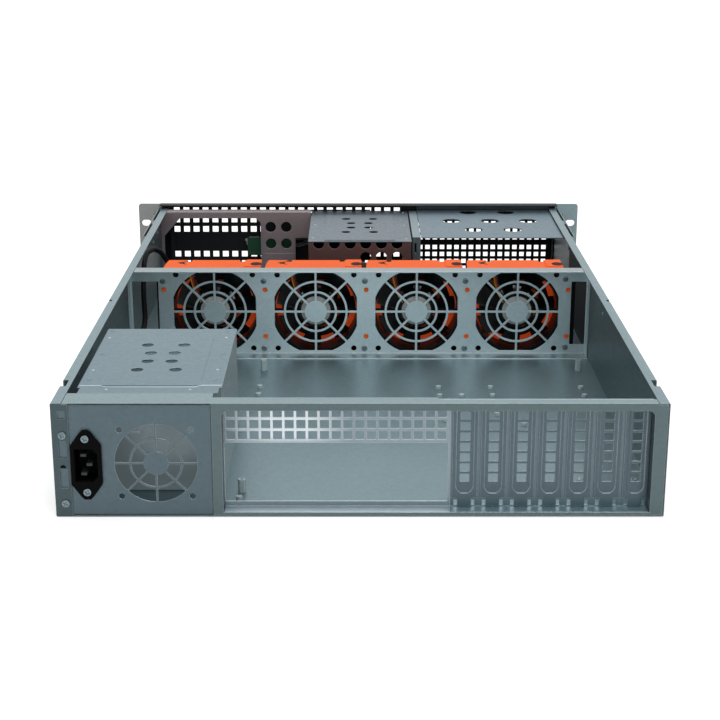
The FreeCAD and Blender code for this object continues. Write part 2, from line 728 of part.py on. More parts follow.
for i, x in enumerate(fan_places):
    seat = fan_half + 0.2
    # The deck leans in at its left end, and an arrow is let into it beside the latch.
    deck = new_body()
    pad(deck, "top", deck_top - 1.1, 1.1, [[
        (x - deck_left, carrier_y[0]), (x + deck_right, carrier_y[0]), (x + deck_right, carrier_y[1]),
        (x - deck_left + 2.2, carrier_y[1]), (x - deck_left + 0.7, carrier_y[0] + 20.0),
    ]])
    tip = (x - fan_half + 9.4, carrier_y[0] + 20.5)
    slot = [
        (x + fan_half - 7.6, carrier_y[0] + 17.0), (x + fan_half - 5.0, carrier_y[0] + 13.0),
        (x + fan_half - 2.4, carrier_y[0] + 11.5), (x + fan_half + 0.6, carrier_y[0] + 13.5),
        (x + fan_half + 0.6, carrier_y[0] + 18.5),
    ]
    pocket(deck, "top", deck_top - 2.0, 3.0, [slot, [
        tip, (tip[0] - 4.2, tip[1] + 5.5), (tip[0] - 2.4, tip[1]), (tip[0] - 4.2, tip[1] - 5.5),
    ]])
    tab = new_body()
    pad(tab, "top", deck_top - 0.5, 1.2, [[
        (x + 27.5, carrier_y[0] + 5.0), (x + deck_right - 0.5, carrier_y[0] + 5.0),
        (x + deck_right - 0.5, carrier_y[1] - 0.5), (x + 29.0, carrier_y[1] - 0.5), (x + 27.5, carrier_y[1] - 4.0),
    ]])
    pocket(tab, "top", deck_top - 2.0, 4.0, [slot])
    parts = [
        deck,
        # raised finger tab at the right end of the deck
        tab,
        # side walls and bottom bar round the fan
        box((x - seat - 2.2, x - seat), (carrier_y[0], fan_y[1] + 1.5), (floor_top, deck_top - 0.5)),
        box((x + seat, x + seat + 2.2), (carrier_y[0], fan_y[1] + 1.5), (floor_top, deck_top - 0.5)),
        box((x - seat - 2.2, x + seat + 2.2), (carrier_y[0], fan_y[1] + 1.5), (floor_top, floor_top + 1.1)),
    ]
    # The spider in front of the rotor: an eight-sided ring on four arms to the fan's corners.
    front = fan_y[1] + 0.3
    arm_length = fan_half * 1.425 - 22.5
    spider = new_body()
    rings = []
    for radius in (25.0, 22.0):
        turns = [math.radians(22.5 + 45.0 * k) for k in range(8)]
        rings.append([(x + radius * math.cos(t), fan_z + radius * math.sin(t)) for t in turns])
    pad(spider, "front", front, 1.6, rings)
    parts.append(spider)
    for side in (-1.0, 1.0):
        for rise in (-1.0, 1.0):
            angle = 45.0 * side * (2.0 - rise)
            turn = math.radians(angle)
            arm = box((x, x + 3.0), (front, front + 1.6), (fan_z, fan_z + arm_length))
            arm.Placement.Rotation = FreeCAD.Rotation(FreeCAD.Vector(0, 1, 0), angle)
            dx = 22.5 * math.sin(turn) - 1.5 * math.cos(turn)
            dz = 22.5 * math.cos(turn) + 1.5 * math.sin(turn)
            place(arm, x + dx, front, fan_z + dz)
            parts.append(arm)
    tools = [
        # notches in the deck's front edge
        box((x - 27.6, x - 23.2), (carrier_y[1] - 6.5, carrier_y[1] + 1.0), (deck_top - 2.0, deck_top + 1.0)),
        box((x + 22.2, x + 27.0), (carrier_y[1] - 6.0, carrier_y[1] + 1.0), (deck_top - 2.0, deck_top + 1.0)),
        # windows in the side walls
        box((x - seat - 3.0, x - seat + 1.0), (fan_y[0] + 6.0, fan_y[1] - 6.0), (fan_z - 26.0, fan_z + 26.0)),
        box((x + seat - 1.0, x + seat + 3.0), (fan_y[0] + 6.0, fan_y[1] - 6.0), (fan_z - 26.0, fan_z + 26.0)),
    ]
    node(cut(fuse(parts), tools), f"fan_carrier_{i + 1}")


# ---- fan frames: square flanges, round duct, bearing hub on four struts --------------

duct = fan_half - 1.4
hub_radius = 16.0
shaft_radius = 1.5
blade_gap = 0.9

for i, x in enumerate(fan_places):
    frame = new_body()
    side = (x - fan_half, x + fan_half)
    stack = (fan_z - fan_half, fan_z + fan_half)
    pad(frame, "front", fan_y[0], size["fan_thickness"], [rectangle(side, stack)])
    pocket(frame, "front", fan_y[0] - 1.0, size["fan_thickness"] + 2.0, [(x, fan_z, duct)])
    drilled = [
        (x + hole_reach * dx, fan_z + hole_reach * dz, 2.15)
        for dx in (-1.0, 1.0)
        for dz in (-1.0, 1.0)
    ]
    pocket(frame, "front", fan_y[0] - 1.0, size["fan_thickness"] + 2.0, drilled)
    # The bearing hub stands on four struts at the rear.
    cross = [
        rectangle((x - duct - 0.5, x + duct + 0.5), (fan_z - 1.5, fan_z + 1.5)),
        rectangle((x - 1.5, x + 1.5), (fan_z - duct - 0.5, fan_z + duct + 0.5)),
    ]
    for strut in cross:
        pad(frame, "front", fan_y[0] + 0.5, 2.0, [strut])
    pad(frame, "front", fan_y[0], 3.0, [(x, fan_z, hub_radius)])
    pad(frame, "front", fan_y[0] + 1.0, 8.0, [(x, fan_z, 3.6)])
    pocket(frame, "front", fan_y[0] + 1.5, 8.5, [(x, fan_z, shaft_radius + 0.06)])
    node(frame, f"fan_frame_{i + 1}")


# ---- fan rotors: a cup on a shaft with seven twisted blades --------------------------

rotor_y = (fan_y[0] + 4.0, fan_y[1] - 1.5)
blade_count = 7
blade_tip = duct - blade_gap

for i, x in enumerate(fan_places):
    rotor = new_body()
    rotor.Placement.Rotation = TURNS["y"]
    place(rotor, x, rotor_y[0], fan_z)
    depth = rotor_y[1] - rotor_y[0]
    cup = [
        (0.0, depth), (0.0, -2.0), (shaft_radius, -2.0), (shaft_radius, depth - 2.0),
        (hub_radius - 1.5, depth - 2.0), (hub_radius - 1.5, 0.0), (hub_radius, 0.0), (hub_radius, depth),
    ]
    outline = sketch(rotor, "front", 0.0, [cup])
    spin = rotor.newObject("PartDesign::Revolution", "revolution")
    spin.Profile = outline
    spin.ReferenceAxis = (outline, ["V_Axis"])
    spin.Angle = 360.0
    # A blade is lofted between a steep root inside the cup's wall and a flatter, leaning tip.
    sections = []
    for reach, lean, chord, thick in ((hub_radius - 0.6, 2.0, 9.0, 0.8), (blade_tip, 6.0, 12.0, 0.6)):
        rise = depth * 0.42
        mid = depth * 0.5
        corners = [
            (lean - chord, mid - rise), (lean - chord + thick * 3, mid - rise),
            (lean + chord * 0.9, mid + rise), (lean + chord * 0.9 - thick * 3, mid + rise),
        ]
        sections.append(sketch(rotor, "side", reach, [corners]))
    blade = rotor.newObject("PartDesign::AdditiveLoft", "blade")
    blade.Profile = sections[0]
    blade.Sections = [sections[1]]
    blade.Ruled = True
    fan = rotor.newObject("PartDesign::PolarPattern", "blades")
    fan.Originals = [blade]
    fan.Axis = ([p for p in rotor.Origin.OriginFeatures if p.Role == "Z_Axis"][0], [""])
    fan.Angle = 360.0
    fan.Occurrences = blade_count
    rotor.Tip = fan
    # A groove turned round the row trims the tips to the duct.
    rim = rectangle((blade_tip, blade_tip + 14.0), (-2.0, depth + 2.0))
    trim = rotor.newObject("PartDesign::Groove", "groove")
    trim.Profile = sketch(rotor, "front", 0.0, [rim])
    trim.ReferenceAxis = (trim.Profile[0], ["V_Axis"])
    trim.Angle = 360.0
    node(rotor, f"fan_rotor_{i + 1}")


# ---- fan leads: each held against its frame from the hub to the corner --------------

for i, x in enumerate(fan_places):
    channel = [
        (x - duct * 0.62 - 1.0, fan_z + duct * 0.62 + 1.0), (x - hub_radius * 0.7, fan_z + hub_radius * 0.7),
    ]
    end, start = channel
    lead = new_body()
    outline = [
        (start[0] - 0.9, start[1] - 0.9), (start[0] + 0.9, start[1] + 0.9),
        (end[0] + 0.9, end[1] + 0.9), (end[0] - 0.9, end[1] - 0.9),
    ]
    pad(lead, "front", fan_y[0] - 1.0, 1.0, [outline])
    node(lead, f"fan_lead_{i + 1}")


# ---- power supply bracket: cross plate with an opening, a wing and flanges ----------

bracket_face = from_front(size["bracket_setback"])
bracket_left, bracket_right = -inner + gap, -68.6
wing_right = front_cage_x - size["cage_width"] / 2 - 0.9
bracket_top = height

bracket = new_body()
outline = [
    (bracket_left, gauge), (bracket_right, gauge), (bracket_right, 56.5), (wing_right, 56.5),
    (wing_right, bracket_top), (-shelf_edge, bracket_top), (-shelf_edge, height - gauge - gap),
    (bracket_left, height - gauge - gap),
]
pad(bracket, "front", bracket_face, gauge, [outline])
opening_left, opening_top = bracket_left + 3.6, bracket_top - 6.8
supply_opening = [
    (opening_left, 12.0), (-106.2, 12.0), (-106.2, opening_top - 5.0), (-111.2, opening_top),
    (opening_left + 17.2, opening_top), (opening_left, opening_top - 19.6),
]
drilled = [(x, z, 5.7) for x in (-95.3, -78.4) for z in (68.7, 50.3, 31.9, 13.5)]
pocket(bracket, "front", bracket_face - 1.0, gauge + 2.0, [supply_opening] + drilled)
lips = [
    (rectangle((-shelf_edge, wing_right), (bracket_top - gauge, bracket_top)), 13.5),
    (rectangle((bracket_left, bracket_right), (gauge, 2 * gauge)), 12.0),
]
for lip, reach in lips:
    pad(bracket, "front", bracket_face, reach, [lip])
node(bracket, "supply_bracket")


# ---- divider channel and bay plate beside the front cage ----------------------------

divider = new_body()
divider_x = (54.9, 63.2)
divider_y = (from_front(138.0), from_front(10.0))
divider_top = cage_top + 1.7
section = [
    (divider_x[0], gauge), (divider_x[0] + gauge, gauge), (divider_x[0] + gauge, divider_top - gauge),
    (divider_x[1] - gauge, divider_top - gauge), (divider_x[1] - gauge, gauge), (divider_x[1], gauge),
    (divider_x[1], divider_top), (divider_x[0], divider_top),
]
pad(divider, "front", divider_y[0], divider_y[1] - divider_y[0], [section])
pad(divider, "front", divider_y[0], gauge, [rectangle(divider_x, (gauge, divider_top))])
pocket(divider, "front", divider_y[0] - 1.0, gauge + 2.0, [rectangle((divider_x[0] + 2.0, divider_x[0] + 4.0), (divider_top - 16.7, divider_top - 6.7))])
node(divider, "divider_channel")

bay_y = (
    from_front(size["bay_plate_setback"] + size["bay_plate_length"]), from_front(size["bay_plate_setback"])
)
bay_left, bay_right = divider_x[1] + 0.5, inner - gap
bay_low = cage_top + 0.7
bay = new_body()
pad(bay, "top", bay_low, gauge, [rectangle((bay_left, bay_right), bay_y)])
pad(bay, "top", bay_low - 12.0, 12.0 + gauge / 2, [rectangle((bay_right - gauge, bay_right), bay_y)])
holes = [(x, from_front(y), 9.5) for x, y in (
    (119.5, 18.0), (160.3, 18.0), (98.8, 61.0), (139.8, 61.0), (180.4, 61.0), (119.5, 103.5), (159.8, 103.5),
)]
pocket(bay, "top", bay_low - 1.0, gauge + 2.0, holes)
pocket(bay, "top", bay_low - 1.0, gauge + 2.0, [
    rectangle((137.3, 142.3), (from_front(y + 0.7), from_front(y - 0.7))) for y in (124.3, 10.0)
])
node(bay, "bay_plate")


# ---- front panel: folded plate with two fields of square holes -----------------------

panel_back = ear_rear + 2.0
panel_front = from_rear(size["case_depth"])
panel_half = size["panel_width"] / 2
panel_top = height + size["panel_rise"]
wall_inside = inner - gap
thick = panel_front - panel_back

front_panel = new_body()
pad(front_panel, "front", panel_back, thick, [rectangle((-panel_half, panel_half), (0.0, panel_top))])
round_edges(front_panel, 2.5, lambda e: along(e, "y", 1.0))
pad(front_panel, "front", panel_front - size["panel_flange"], size["panel_flange"] - thick / 2, [
    rectangle((-panel_half + 1.5, panel_half - 1.5), (panel_top - gauge, panel_top))
])
returns = [
    rectangle((-wall_inside, -wall_inside + gauge), (2 * gauge, 66.0)),
    rectangle((wall_inside - gauge, wall_inside), (2 * gauge, 66.0)),
]
pad(front_panel, "front", panel_front - 18.0, 18.0 - thick / 2, returns)
# A folded angle stiffens the panel beside the left mesh.
stiffener_y = panel_back - 11.0
pad(front_panel, "front", stiffener_y, panel_back - stiffener_y + thick / 2, [
    rectangle((-206.2, -206.2 + gauge), (8.0, 66.0))
])
pad(front_panel, "front", stiffener_y, gauge, [rectangle((-206.2, -201.9), (8.0, 66.0))])
left_square, right_square = size["left_square"] / 2, size["right_square"] / 2
x = -199.9
first = [
    rectangle((x - left_square, x + left_square), (z - left_square, z + left_square)) for z in (10.9, 60.2)
]
hole = pocket(front_panel, "front", panel_back - 1.0, thick + 2.0, first)
repeat(front_panel, hole, size["left_pitch"], 24, size["left_rise"], 3)
x = 68.7
first = [
    rectangle((x - right_square, x + right_square), (z - right_square, z + right_square)) for z in (8.2, 50.8)
]
hole = pocket(front_panel, "front", panel_back - 1.0, thick + 2.0, first)
repeat(front_panel, hole, size["right_pitch"], 18, size["right_rise"], 5)

button_radius = 4.9
button_z = 46.0
button_places = {"power_button": -118.0, "reset_button": -104.0}
socket_places = (-92.0, -80.0)
socket_half = (3.1, 6.9)
passages = [
    rectangle(
        (x - socket_half[0] - gap, x + socket_half[0] + gap),
        (button_z - socket_half[1] - gap, button_z + socket_half[1] + gap),
    )
    for x in socket_places
]
pocket(front_panel, "front", panel_back - 1.0, thick + 2.0, passages)
pocket(front_panel, "front", panel_back - 1.0, thick + 2.0, [
    (x, button_z, button_radius + 0.06) for x in button_places.values()
])
node(front_panel, "front_panel")


# ---- front board with its posts, sockets, and the two sprung buttons -----------------

board_y = (panel_back - 14.0, panel_back - 12.4)
board = [box((-121.5, -71.5), board_y, (button_z - 12.0, button_z + 8.0))]
for x in (-119.0, -74.0):
    board.append(box((x - 1.5, x + 1.5), (board_y[1], panel_back), (button_z - 11.0, button_z - 8.0)))
node(fuse(board), "front_board")

sockets = []
for x in socket_places:
    shell = box(
        (x - socket_half[0], x + socket_half[0]), (board_y[1], panel_front),
        (button_z - socket_half[1], button_z + socket_half[1]),
    )
    mouth = box(
        (x - socket_half[0] + 0.6, x + socket_half[0] - 0.6), (board_y[1] + 2.0, panel_front + 1.0),
        (button_z - socket_half[1] + 0.6, button_z + socket_half[1] - 0.6),
    )
    tongue = box((x - 1.2, x + 1.0), (board_y[1] + 1.0, panel_front - 1.5), (button_z - 5.5, button_z + 5.5))
    sockets.append(fuse([cut(shell, [mouth]), tongue]))
node(fuse(sockets), "usb_sockets")

button_travel = 2.0
for label, x in button_places.items():
    button = new_body()
    pad(button, "front", board_y[1] + button_travel + 0.4, 8.0, [(x, button_z, 2.0)])
    pad(button, "front", panel_back - 2.0, 1.7, [(x, button_z, button_radius + 1.2)])
    pad(button, "front", panel_back - 1.0, thick + 1.0 + 1.2, [(x, button_z, button_radius)])
    node(button, label)


# ---- rack ears and handles -----------------------------------------------------------

ear_half = size["ear_span"] / 2
slot_x = size["ear_hole_span"] / 2
slot_half = (1.6, 3.4)
handle_x = 223.5
handle_places = (11.0, panel_top - 11.9)
handle_half = 3.5
ear_slots = (size["ear_slot_low"], size["ear_slot_low"] + size["ear_slot_spacing"])

for side, label in ((-1.0, "left"), (1.0, "right")):
    near, far = (half_width + 0.2) * side, ear_half * side
    ear = new_body()
    # The inner corner is let down below the front panel's flange.
    step = near + 2.0 * side
    plate = [
        (near, 0.0), (far, 0.0), (far, panel_top), (step, panel_top), (step, panel_top - 1.5), (near, panel_top - 1.5),
    ]
    pad(ear, "front", ear_rear, panel_back - ear_rear, [plate])
    edge = number(far)
    round_edges(ear, 3.0, lambda e: along(e, "y", 1.0) and abs(e.BoundBox.XMin - edge) < 0.1)
    # The long leg stands off the tray's side on three pads, with narrow slots between them.
    leg_near = near + 2.2 * side
    leg_y = ear_rear - 138.0
    leg = rectangle(sorted([leg_near, leg_near + gauge * side], key=number), (2.0, height - 0.5))
    pad(ear, "front", leg_y, ear_rear - leg_y + 0.5, [leg])
    inside = rectangle(sorted([near, leg_near + 0.5 * side], key=number), (2.0, height - 1.5))
    for start, end in ((0.0, 2.5), (62.0, 78.0), (134.0, 138.5)):
        pad(ear, "front", leg_y + start, end - start, [inside])
    middle = slot_x * side
    for z in ear_slots:
        pocket(ear, "front", ear_rear - 1.0, 4.0, [rectangle((middle - slot_half[0], middle + slot_half[0]), (z - slot_half[1], z + slot_half[1]))])
        for dx in (-slot_half[0], slot_half[0]):
            pocket(ear, "front", ear_rear - 1.0, 4.0, [(middle + dx, z, slot_half[1])])
    pocket(ear, "front", ear_rear - 1.0, 4.0, [(handle_x * side, z, 2.2) for z in handle_places])
    node(ear, f"ear_{label}")

    # The handle is one bent bar with flattened sides, tapped at both feet.
    handle = new_body()
    grip_front = panel_back + size["handle_reach"]
    low_end, high_end = handle_places[0] - handle_half, handle_places[1] + handle_half
    bend = 7.0
    outline = [
        (panel_back, low_end), (grip_front - bend, low_end), (grip_front - 2.0, low_end + 2.0),
        (grip_front, low_end + bend), (grip_front, high_end - bend), (grip_front - 2.0, high_end - 2.0),
        (grip_front - bend, high_end), (panel_back, high_end), (panel_back, high_end - 7.0),
        (grip_front - bend, high_end - 7.0), (grip_front - 7.0, high_end - bend - 2.0),
        (grip_front - 7.0, low_end + bend + 2.0), (grip_front - bend, low_end + 7.0), (panel_back, low_end + 7.0),
    ]
    middle = handle_x * side
    pad(handle, "side", middle - handle_half, 2 * handle_half, [outline])
    pocket(handle, "front", panel_back - 1.0, 9.0, [(middle, z, 1.7) for z in handle_places])
    node(handle, f"handle_{label}")


# ---- board standoffs, floor bosses and case screws -----------------------------------

standoff_places = ((-87.0, 44.0), (-87.0, 335.0), (201.0, 335.0), (201.0, 44.0), (163.0, 44.0))
standoffs = []
for x, y in standoff_places:
    post = doc.addObject("Part::Prism", "standoff")
    post.Polygon = 6
    post.setExpression("Circumradius", text(3.0))
    post.setExpression("Height", text(size["standoff_height"]))
    place(post, x, from_rear(y), gauge)
    standoffs.append(cut(post, [cylinder("z", x, from_rear(y), gauge + 1.0, 1.25, size["standoff_height"])]))
node(fuse(standoffs), "standoffs")

boss_places = (
    (-88.0, 284.0), (-88.0, 262.5), (70.0, 282.0), (70.0, 259.5), (89.0, 259.5), (116.0, 282.0),
    (116.0, 260.0), (196.0, 282.0), (196.0, 259.5), (-88.0, 29.6), (116.0, 212.0), (136.0, 187.0), (71.0, 197.0),
)
bosses = []
for x, y in boss_places:
    post = doc.addObject("Part::Prism", "boss")
    post.Polygon = 8
    post.setExpression("Circumradius", text(2.4))
    post.setExpression("Height", text(2.5))
    bosses.append(place(post, x, from_rear(y), gauge))
node(fuse(bosses), "floor_bosses")

heads = []
for x, z, base in (
    (strip_screw_x, strip_screw_heights[0], rear), (strip_screw_x, strip_screw_heights[1], rear),
    (inlet_x, inlet_z - inlet_screw_reach, inlet_front), (inlet_x, inlet_z + inlet_screw_reach, inlet_front),
):
    head = doc.addObject("Part::Cone", "head")
    head.Placement.Rotation = TURNS["y"]
    head.setExpression("Radius1", text(1.6))
    head.setExpression("Radius2", text(2.8))
    head.setExpression("Height", text(1.5))
    heads.append(place(head, x, base - 1.5, z))
    heads.append(cylinder("y", x, base - 1.0, z, 1.3, 5.0))
node(fuse(heads), "case_screws")


# ---- internal power lead with its connector ------------------------------------------

lead_radius = size["lead_diameter"] / 2
lead_z = 8.0
route = [
    (inlet_x, inlet_front + 28.0, inlet_z), (inlet_x, -292.0, inlet_z), (-208.5, -288.6, 34.0),
    (-208.4, -262.0, 29.0), (-208.6, -215.0, 26.0),
    (-208.6, -160.0, 28.0), (-208.4, -105.0, 25.0), (-208.5, -55.0, 27.0), (-206.0, -10.0, 26.0),
    (-201.5, 30.0, 28.0), (-201.0, 56.0, 32.0), (-204.4, 73.0, 55.0), (-205.3, 91.0, 79.0),
    (-204.9, 109.0, 86.2), (-200.4, 126.0, 86.0), (-194.6, 134.5, 81.5), (-190.5, 146.0, 70.0),
    (-184.5, 160.0, 50.0), (-174.0, 181.0, 18.0), (-158.0, 214.0, lead_z), (-150.0, 245.0, lead_z),
    (-150.0, 268.0, lead_z),
]


def cord_path(points):
    """Straight runs joined by tangent arcs, each as wide as its two runs allow."""
    spots = [FreeCAD.Vector(*(number(c) for c in p)) for p in points]
    edges, last = [], spots[0]
    for before, here, after in zip(spots, spots[1:], spots[2:]):
        back, ahead = (before - here), (after - here)
        run = 0.45 * min(back.Length, ahead.Length)
        enter = here + back.normalize() * run
        leave = here + ahead.normalize() * run
        half = math.pi / 2 - (back.getAngle(ahead)) / 2
        radius = run / math.tan(half)
        inward = (back + ahead).normalize()
        middle = here + inward * (math.hypot(radius, run) - radius)
        edges.append(Part.makeLine(last, enter))
        edges.append(Part.Arc(enter, middle, leave).toShape())
        last = leave
    edges.append(Part.makeLine(last, spots[-1]))
    return Part.Wire(edges)


path = cord_path(route)
start = path.Edges[0]
section = Part.Wire(Part.makeCircle(lead_radius.number, start.valueAt(start.FirstParameter), start.tangentAt(start.FirstParameter)))
lead = doc.addObject("Part::Feature", "lead")
lead.Shape = path.makePipeShell([section], True, False)
node(lead, "power_lead")

end_y = route[-1][1]
plug = fuse([
    box((-160.0, -140.0), (end_y, end_y + 18.0), (gauge + 0.5, gauge + 13.0)),
    box((-157.0, -143.0), (end_y + 17.0, end_y + 26.0), (gauge + 2.0, gauge + 11.5)),
])
sockets = [
    box((x - 1.8, x + 1.8), (end_y + 16.0, end_y + 27.0), (z - 1.6, z + 1.6))
    for x in (-154.0, -150.0, -146.0)
    for z in (gauge + 4.6, gauge + 8.9)
]
node(cut(plug, sockets), "power_lead_connector")


# ---- checks, then one STEP file for each node ----------------------------------------

doc.recompute()
for item in doc.Objects:
    wrong = [word for word in item.State if word in ("Invalid", "Error")]
    if wrong:
        raise RuntimeError(f"{item.Name} of {item.Label}: {wrong}")
for item in nodes:
    shape = item.Shape
    if shape.isNull() or not shape.isValid() or shape.Volume < 1.0:
        raise RuntimeError(f"{item.Label} has no sound shape")
os.makedirs("parts", exist_ok=True)
for item in nodes:
    item.Shape.exportStep(f"parts/{item.Label}.step")
    bounds = item.Shape.BoundBox
    print(f"{item.Label}: {len(item.Shape.Solids)} solid(s), X {bounds.XMin:.2f} {bounds.XMax:.2f}, "
          f"Y {bounds.YMin:.2f} {bounds.YMax:.2f}, Z {bounds.ZMin:.2f} {bounds.ZMax:.2f}")
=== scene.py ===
"""Looks of an empty two-unit rackmount case: folded zinc-coated steel, orange fan carriers, black fans."""

import bmesh
import bpy
import numpy as np
from mathutils import Matrix, Vector


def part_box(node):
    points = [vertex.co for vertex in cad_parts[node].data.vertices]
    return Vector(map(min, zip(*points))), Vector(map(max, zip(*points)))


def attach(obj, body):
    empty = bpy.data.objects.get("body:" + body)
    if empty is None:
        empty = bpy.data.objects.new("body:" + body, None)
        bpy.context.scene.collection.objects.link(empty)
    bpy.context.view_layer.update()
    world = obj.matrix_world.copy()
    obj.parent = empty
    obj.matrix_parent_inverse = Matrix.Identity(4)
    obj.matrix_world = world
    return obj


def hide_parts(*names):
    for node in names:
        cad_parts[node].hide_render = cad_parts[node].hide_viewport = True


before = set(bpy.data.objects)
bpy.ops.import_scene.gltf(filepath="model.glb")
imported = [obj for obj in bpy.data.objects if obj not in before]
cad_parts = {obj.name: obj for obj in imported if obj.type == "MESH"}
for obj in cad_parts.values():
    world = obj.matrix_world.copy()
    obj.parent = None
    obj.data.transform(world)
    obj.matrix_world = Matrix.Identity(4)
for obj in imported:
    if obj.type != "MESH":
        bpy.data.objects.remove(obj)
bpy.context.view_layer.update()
scene = bpy.context.scene
scene.view_settings.view_transform = "Standard"


# ---- Camera ----------------------------------------------------------------------------------
# A long lens stands behind the case, a little left of its middle and well above it,
# so that the rear face is square on and the inside is seen over it.
LENS_MM, SENSOR_MM = 77.2925, 36.0
LENS_PLACE = (-0.0038355, -1.34426, 0.43744)
TILT_DOWN, TURN_RIGHT, ROLL = 17.55, 0.1988, 0.0676

camera_data = bpy.data.cameras.new("camera")
camera_data.sensor_width = SENSOR_MM
camera_data.lens = LENS_MM
camera_data.clip_end = 20.0
camera = bpy.data.objects.new("camera", camera_data)
camera.matrix_world = (
    Matrix.Translation(LENS_PLACE)
    @ Matrix.Rotation(np.radians(-TURN_RIGHT), 4, "Z")
    @ Matrix.Rotation(np.radians(90.0 - TILT_DOWN), 4, "X")
    @ Matrix.Rotation(np.radians(ROLL), 4, "Z")
)
scene.collection.objects.link(camera)
scene.camera = camera


# ---- Internal power lead ---------------------------------------------------------------------
# One black sleeve holds the wires from the back of the inlet, along the left wall, through
# the cable window, over a hump behind the fans and down to the connector in the supply bay.
LEAD_CORNERS_MM = [
    (-192.5, -303.6, 39.3), (-192.5, -292.0, 39.3), (-208.5, -288.6, 34.0), (-208.4, -262.0, 29.0),
    (-208.6, -215.0, 26.0), (-208.6, -160.0, 28.0), (-208.4, -105.0, 25.0), (-208.5, -55.0, 27.0),
    (-206.0, -10.0, 26.0), (-201.5, 30.0, 28.0), (-201.0, 56.0, 32.0), (-204.4, 73.0, 55.0),
    (-205.3, 91.0, 79.0), (-204.9, 109.0, 86.2), (-200.4, 126.0, 86.0), (-194.6, 134.5, 81.5),
    (-190.5, 146.0, 70.0), (-184.5, 160.0, 50.0), (-174.0, 181.0, 18.0), (-158.0, 214.0, 8.0),
    (-150.0, 245.0, 8.0), (-150.0, 268.0, 8.0),
]
LEAD_DIAMETER = 0.005
BEND_SHARE = 0.45


def rounded_path(corners, steps=9):
    """Straight runs with an arc at each corner that touches both runs.

    An arc starts a set share of the shorter run before its corner, so its radius is that
    length times the tangent of half the corner's angle.
    """
    here = corners[1:-1]
    back, ahead = corners[:-2] - here, corners[2:] - here
    back_length = np.linalg.norm(back, axis=1, keepdims=True)
    ahead_length = np.linalg.norm(ahead, axis=1, keepdims=True)
    run = BEND_SHARE * np.minimum(back_length, ahead_length)
    back, ahead = back / back_length, ahead / ahead_length
    angle = np.arccos(np.clip((back * ahead).sum(1, keepdims=True), -1.0, 1.0))
    radius = run * np.tan(angle / 2)
    inward = (back + ahead) / np.linalg.norm(back + ahead, axis=1, keepdims=True)
    forward = (ahead - back) / np.linalg.norm(ahead - back, axis=1, keepdims=True)
    centre = here + inward * np.hypot(radius, run)
    turn = (np.linspace(-0.5, 0.5, steps)[None, :] * (np.pi - angle))[..., None]
    swung = forward[:, None] * np.sin(turn) - inward[:, None] * np.cos(turn)
    arcs = centre[:, None] + radius[:, None] * swung
    return np.concatenate([corners[:1], arcs.reshape(-1, 3), corners[-1:]])


lead_path = rounded_path(np.array(LEAD_CORNERS_MM)) / 1000.0
lead_curve = bpy.data.curves.new("power_cord", "CURVE")
lead_curve.dimensions = "3D"
lead_curve.bevel_depth = LEAD_DIAMETER / 2
lead_curve.bevel_resolution = 4
lead_curve.use_fill_caps = True
lead_spline = lead_curve.splines.new("POLY")
lead_spline.points.add(len(lead_path) - 1)
lead_spline.points.foreach_set("co", np.c_[lead_path, np.ones(len(lead_path))].ravel())
power_cord = bpy.data.objects.new("power_cord", lead_curve)
scene.collection.objects.link(power_cord)


def new_material(name, metallic, roughness):
    """A node material with one Principled shader, returned with its tree and its shader."""
    material = bpy.data.materials.new(name)
    material.use_nodes = True
    shader = material.node_tree.nodes["Principled BSDF"]
    shader.inputs["Metallic"].default_value = metallic
    shader.inputs["Roughness"].default_value = roughness
    return material, material.node_tree, shader


def new_group(name, inputs, outputs):
    """A shader node group with named sockets: inputs give (name, kind, value), outputs (name, kind)."""
    group = bpy.data.node_groups.new(name, "ShaderNodeTree")
    for label, kind, value in inputs:
        group.interface.new_socket(label, in_out="INPUT", socket_type=kind).default_value = value
    for label, kind in outputs:
        group.interface.new_socket(label, in_out="OUTPUT", socket_type=kind)
    return group, group.nodes.new("NodeGroupInput"), group.nodes.new("NodeGroupOutput")


COLOUR, FLOAT = "NodeSocketColor", "NodeSocketFloat"
WHITE = (1.0, 1.0, 1.0, 1.0)


def calculate(group, operation, *values):
    """The output of a Math node, whose inputs are sockets or plain numbers."""
    node = group.nodes.new("ShaderNodeMath")
    node.operation = operation
    for entry, value in zip(node.inputs, values):
        if isinstance(value, float):
            entry.default_value = value
        else:
            group.links.new(value, entry)
    return node.outputs["Value"]


def swing(group, source, amount):
    """1 + (source - 0.5) * amount, where source runs from 0 to 1 and amount is a socket."""
    return calculate(group, "MULTIPLY_ADD", calculate(group, "SUBTRACT", source, 0.5), amount, 1.0)


def noise(group, vector, scale, detail=2.0):
    """The 0 to 1 output of a noise texture, whose scale is a number or a socket."""
    node = group.nodes.new("ShaderNodeTexNoise")
    node.inputs["Detail"].default_value = detail
    group.links.new(vector, node.inputs["Vector"])
    if isinstance(scale, float):
        node.inputs["Scale"].default_value = scale
    else:
        group.links.new(scale, node.inputs["Scale"])
    return node.outputs["Fac"]


def multiply(group, first, second):
    """Multiplies two colours or a colour by a grey."""
    node = group.nodes.new("ShaderNodeMix")
    node.data_type = "RGBA"
    node.blend_type = "MULTIPLY"
    node.inputs["Factor"].default_value = 1.0
    group.links.new(first, node.inputs["A"])
    group.links.new(second, node.inputs["B"])
    return node.outputs["Result"]


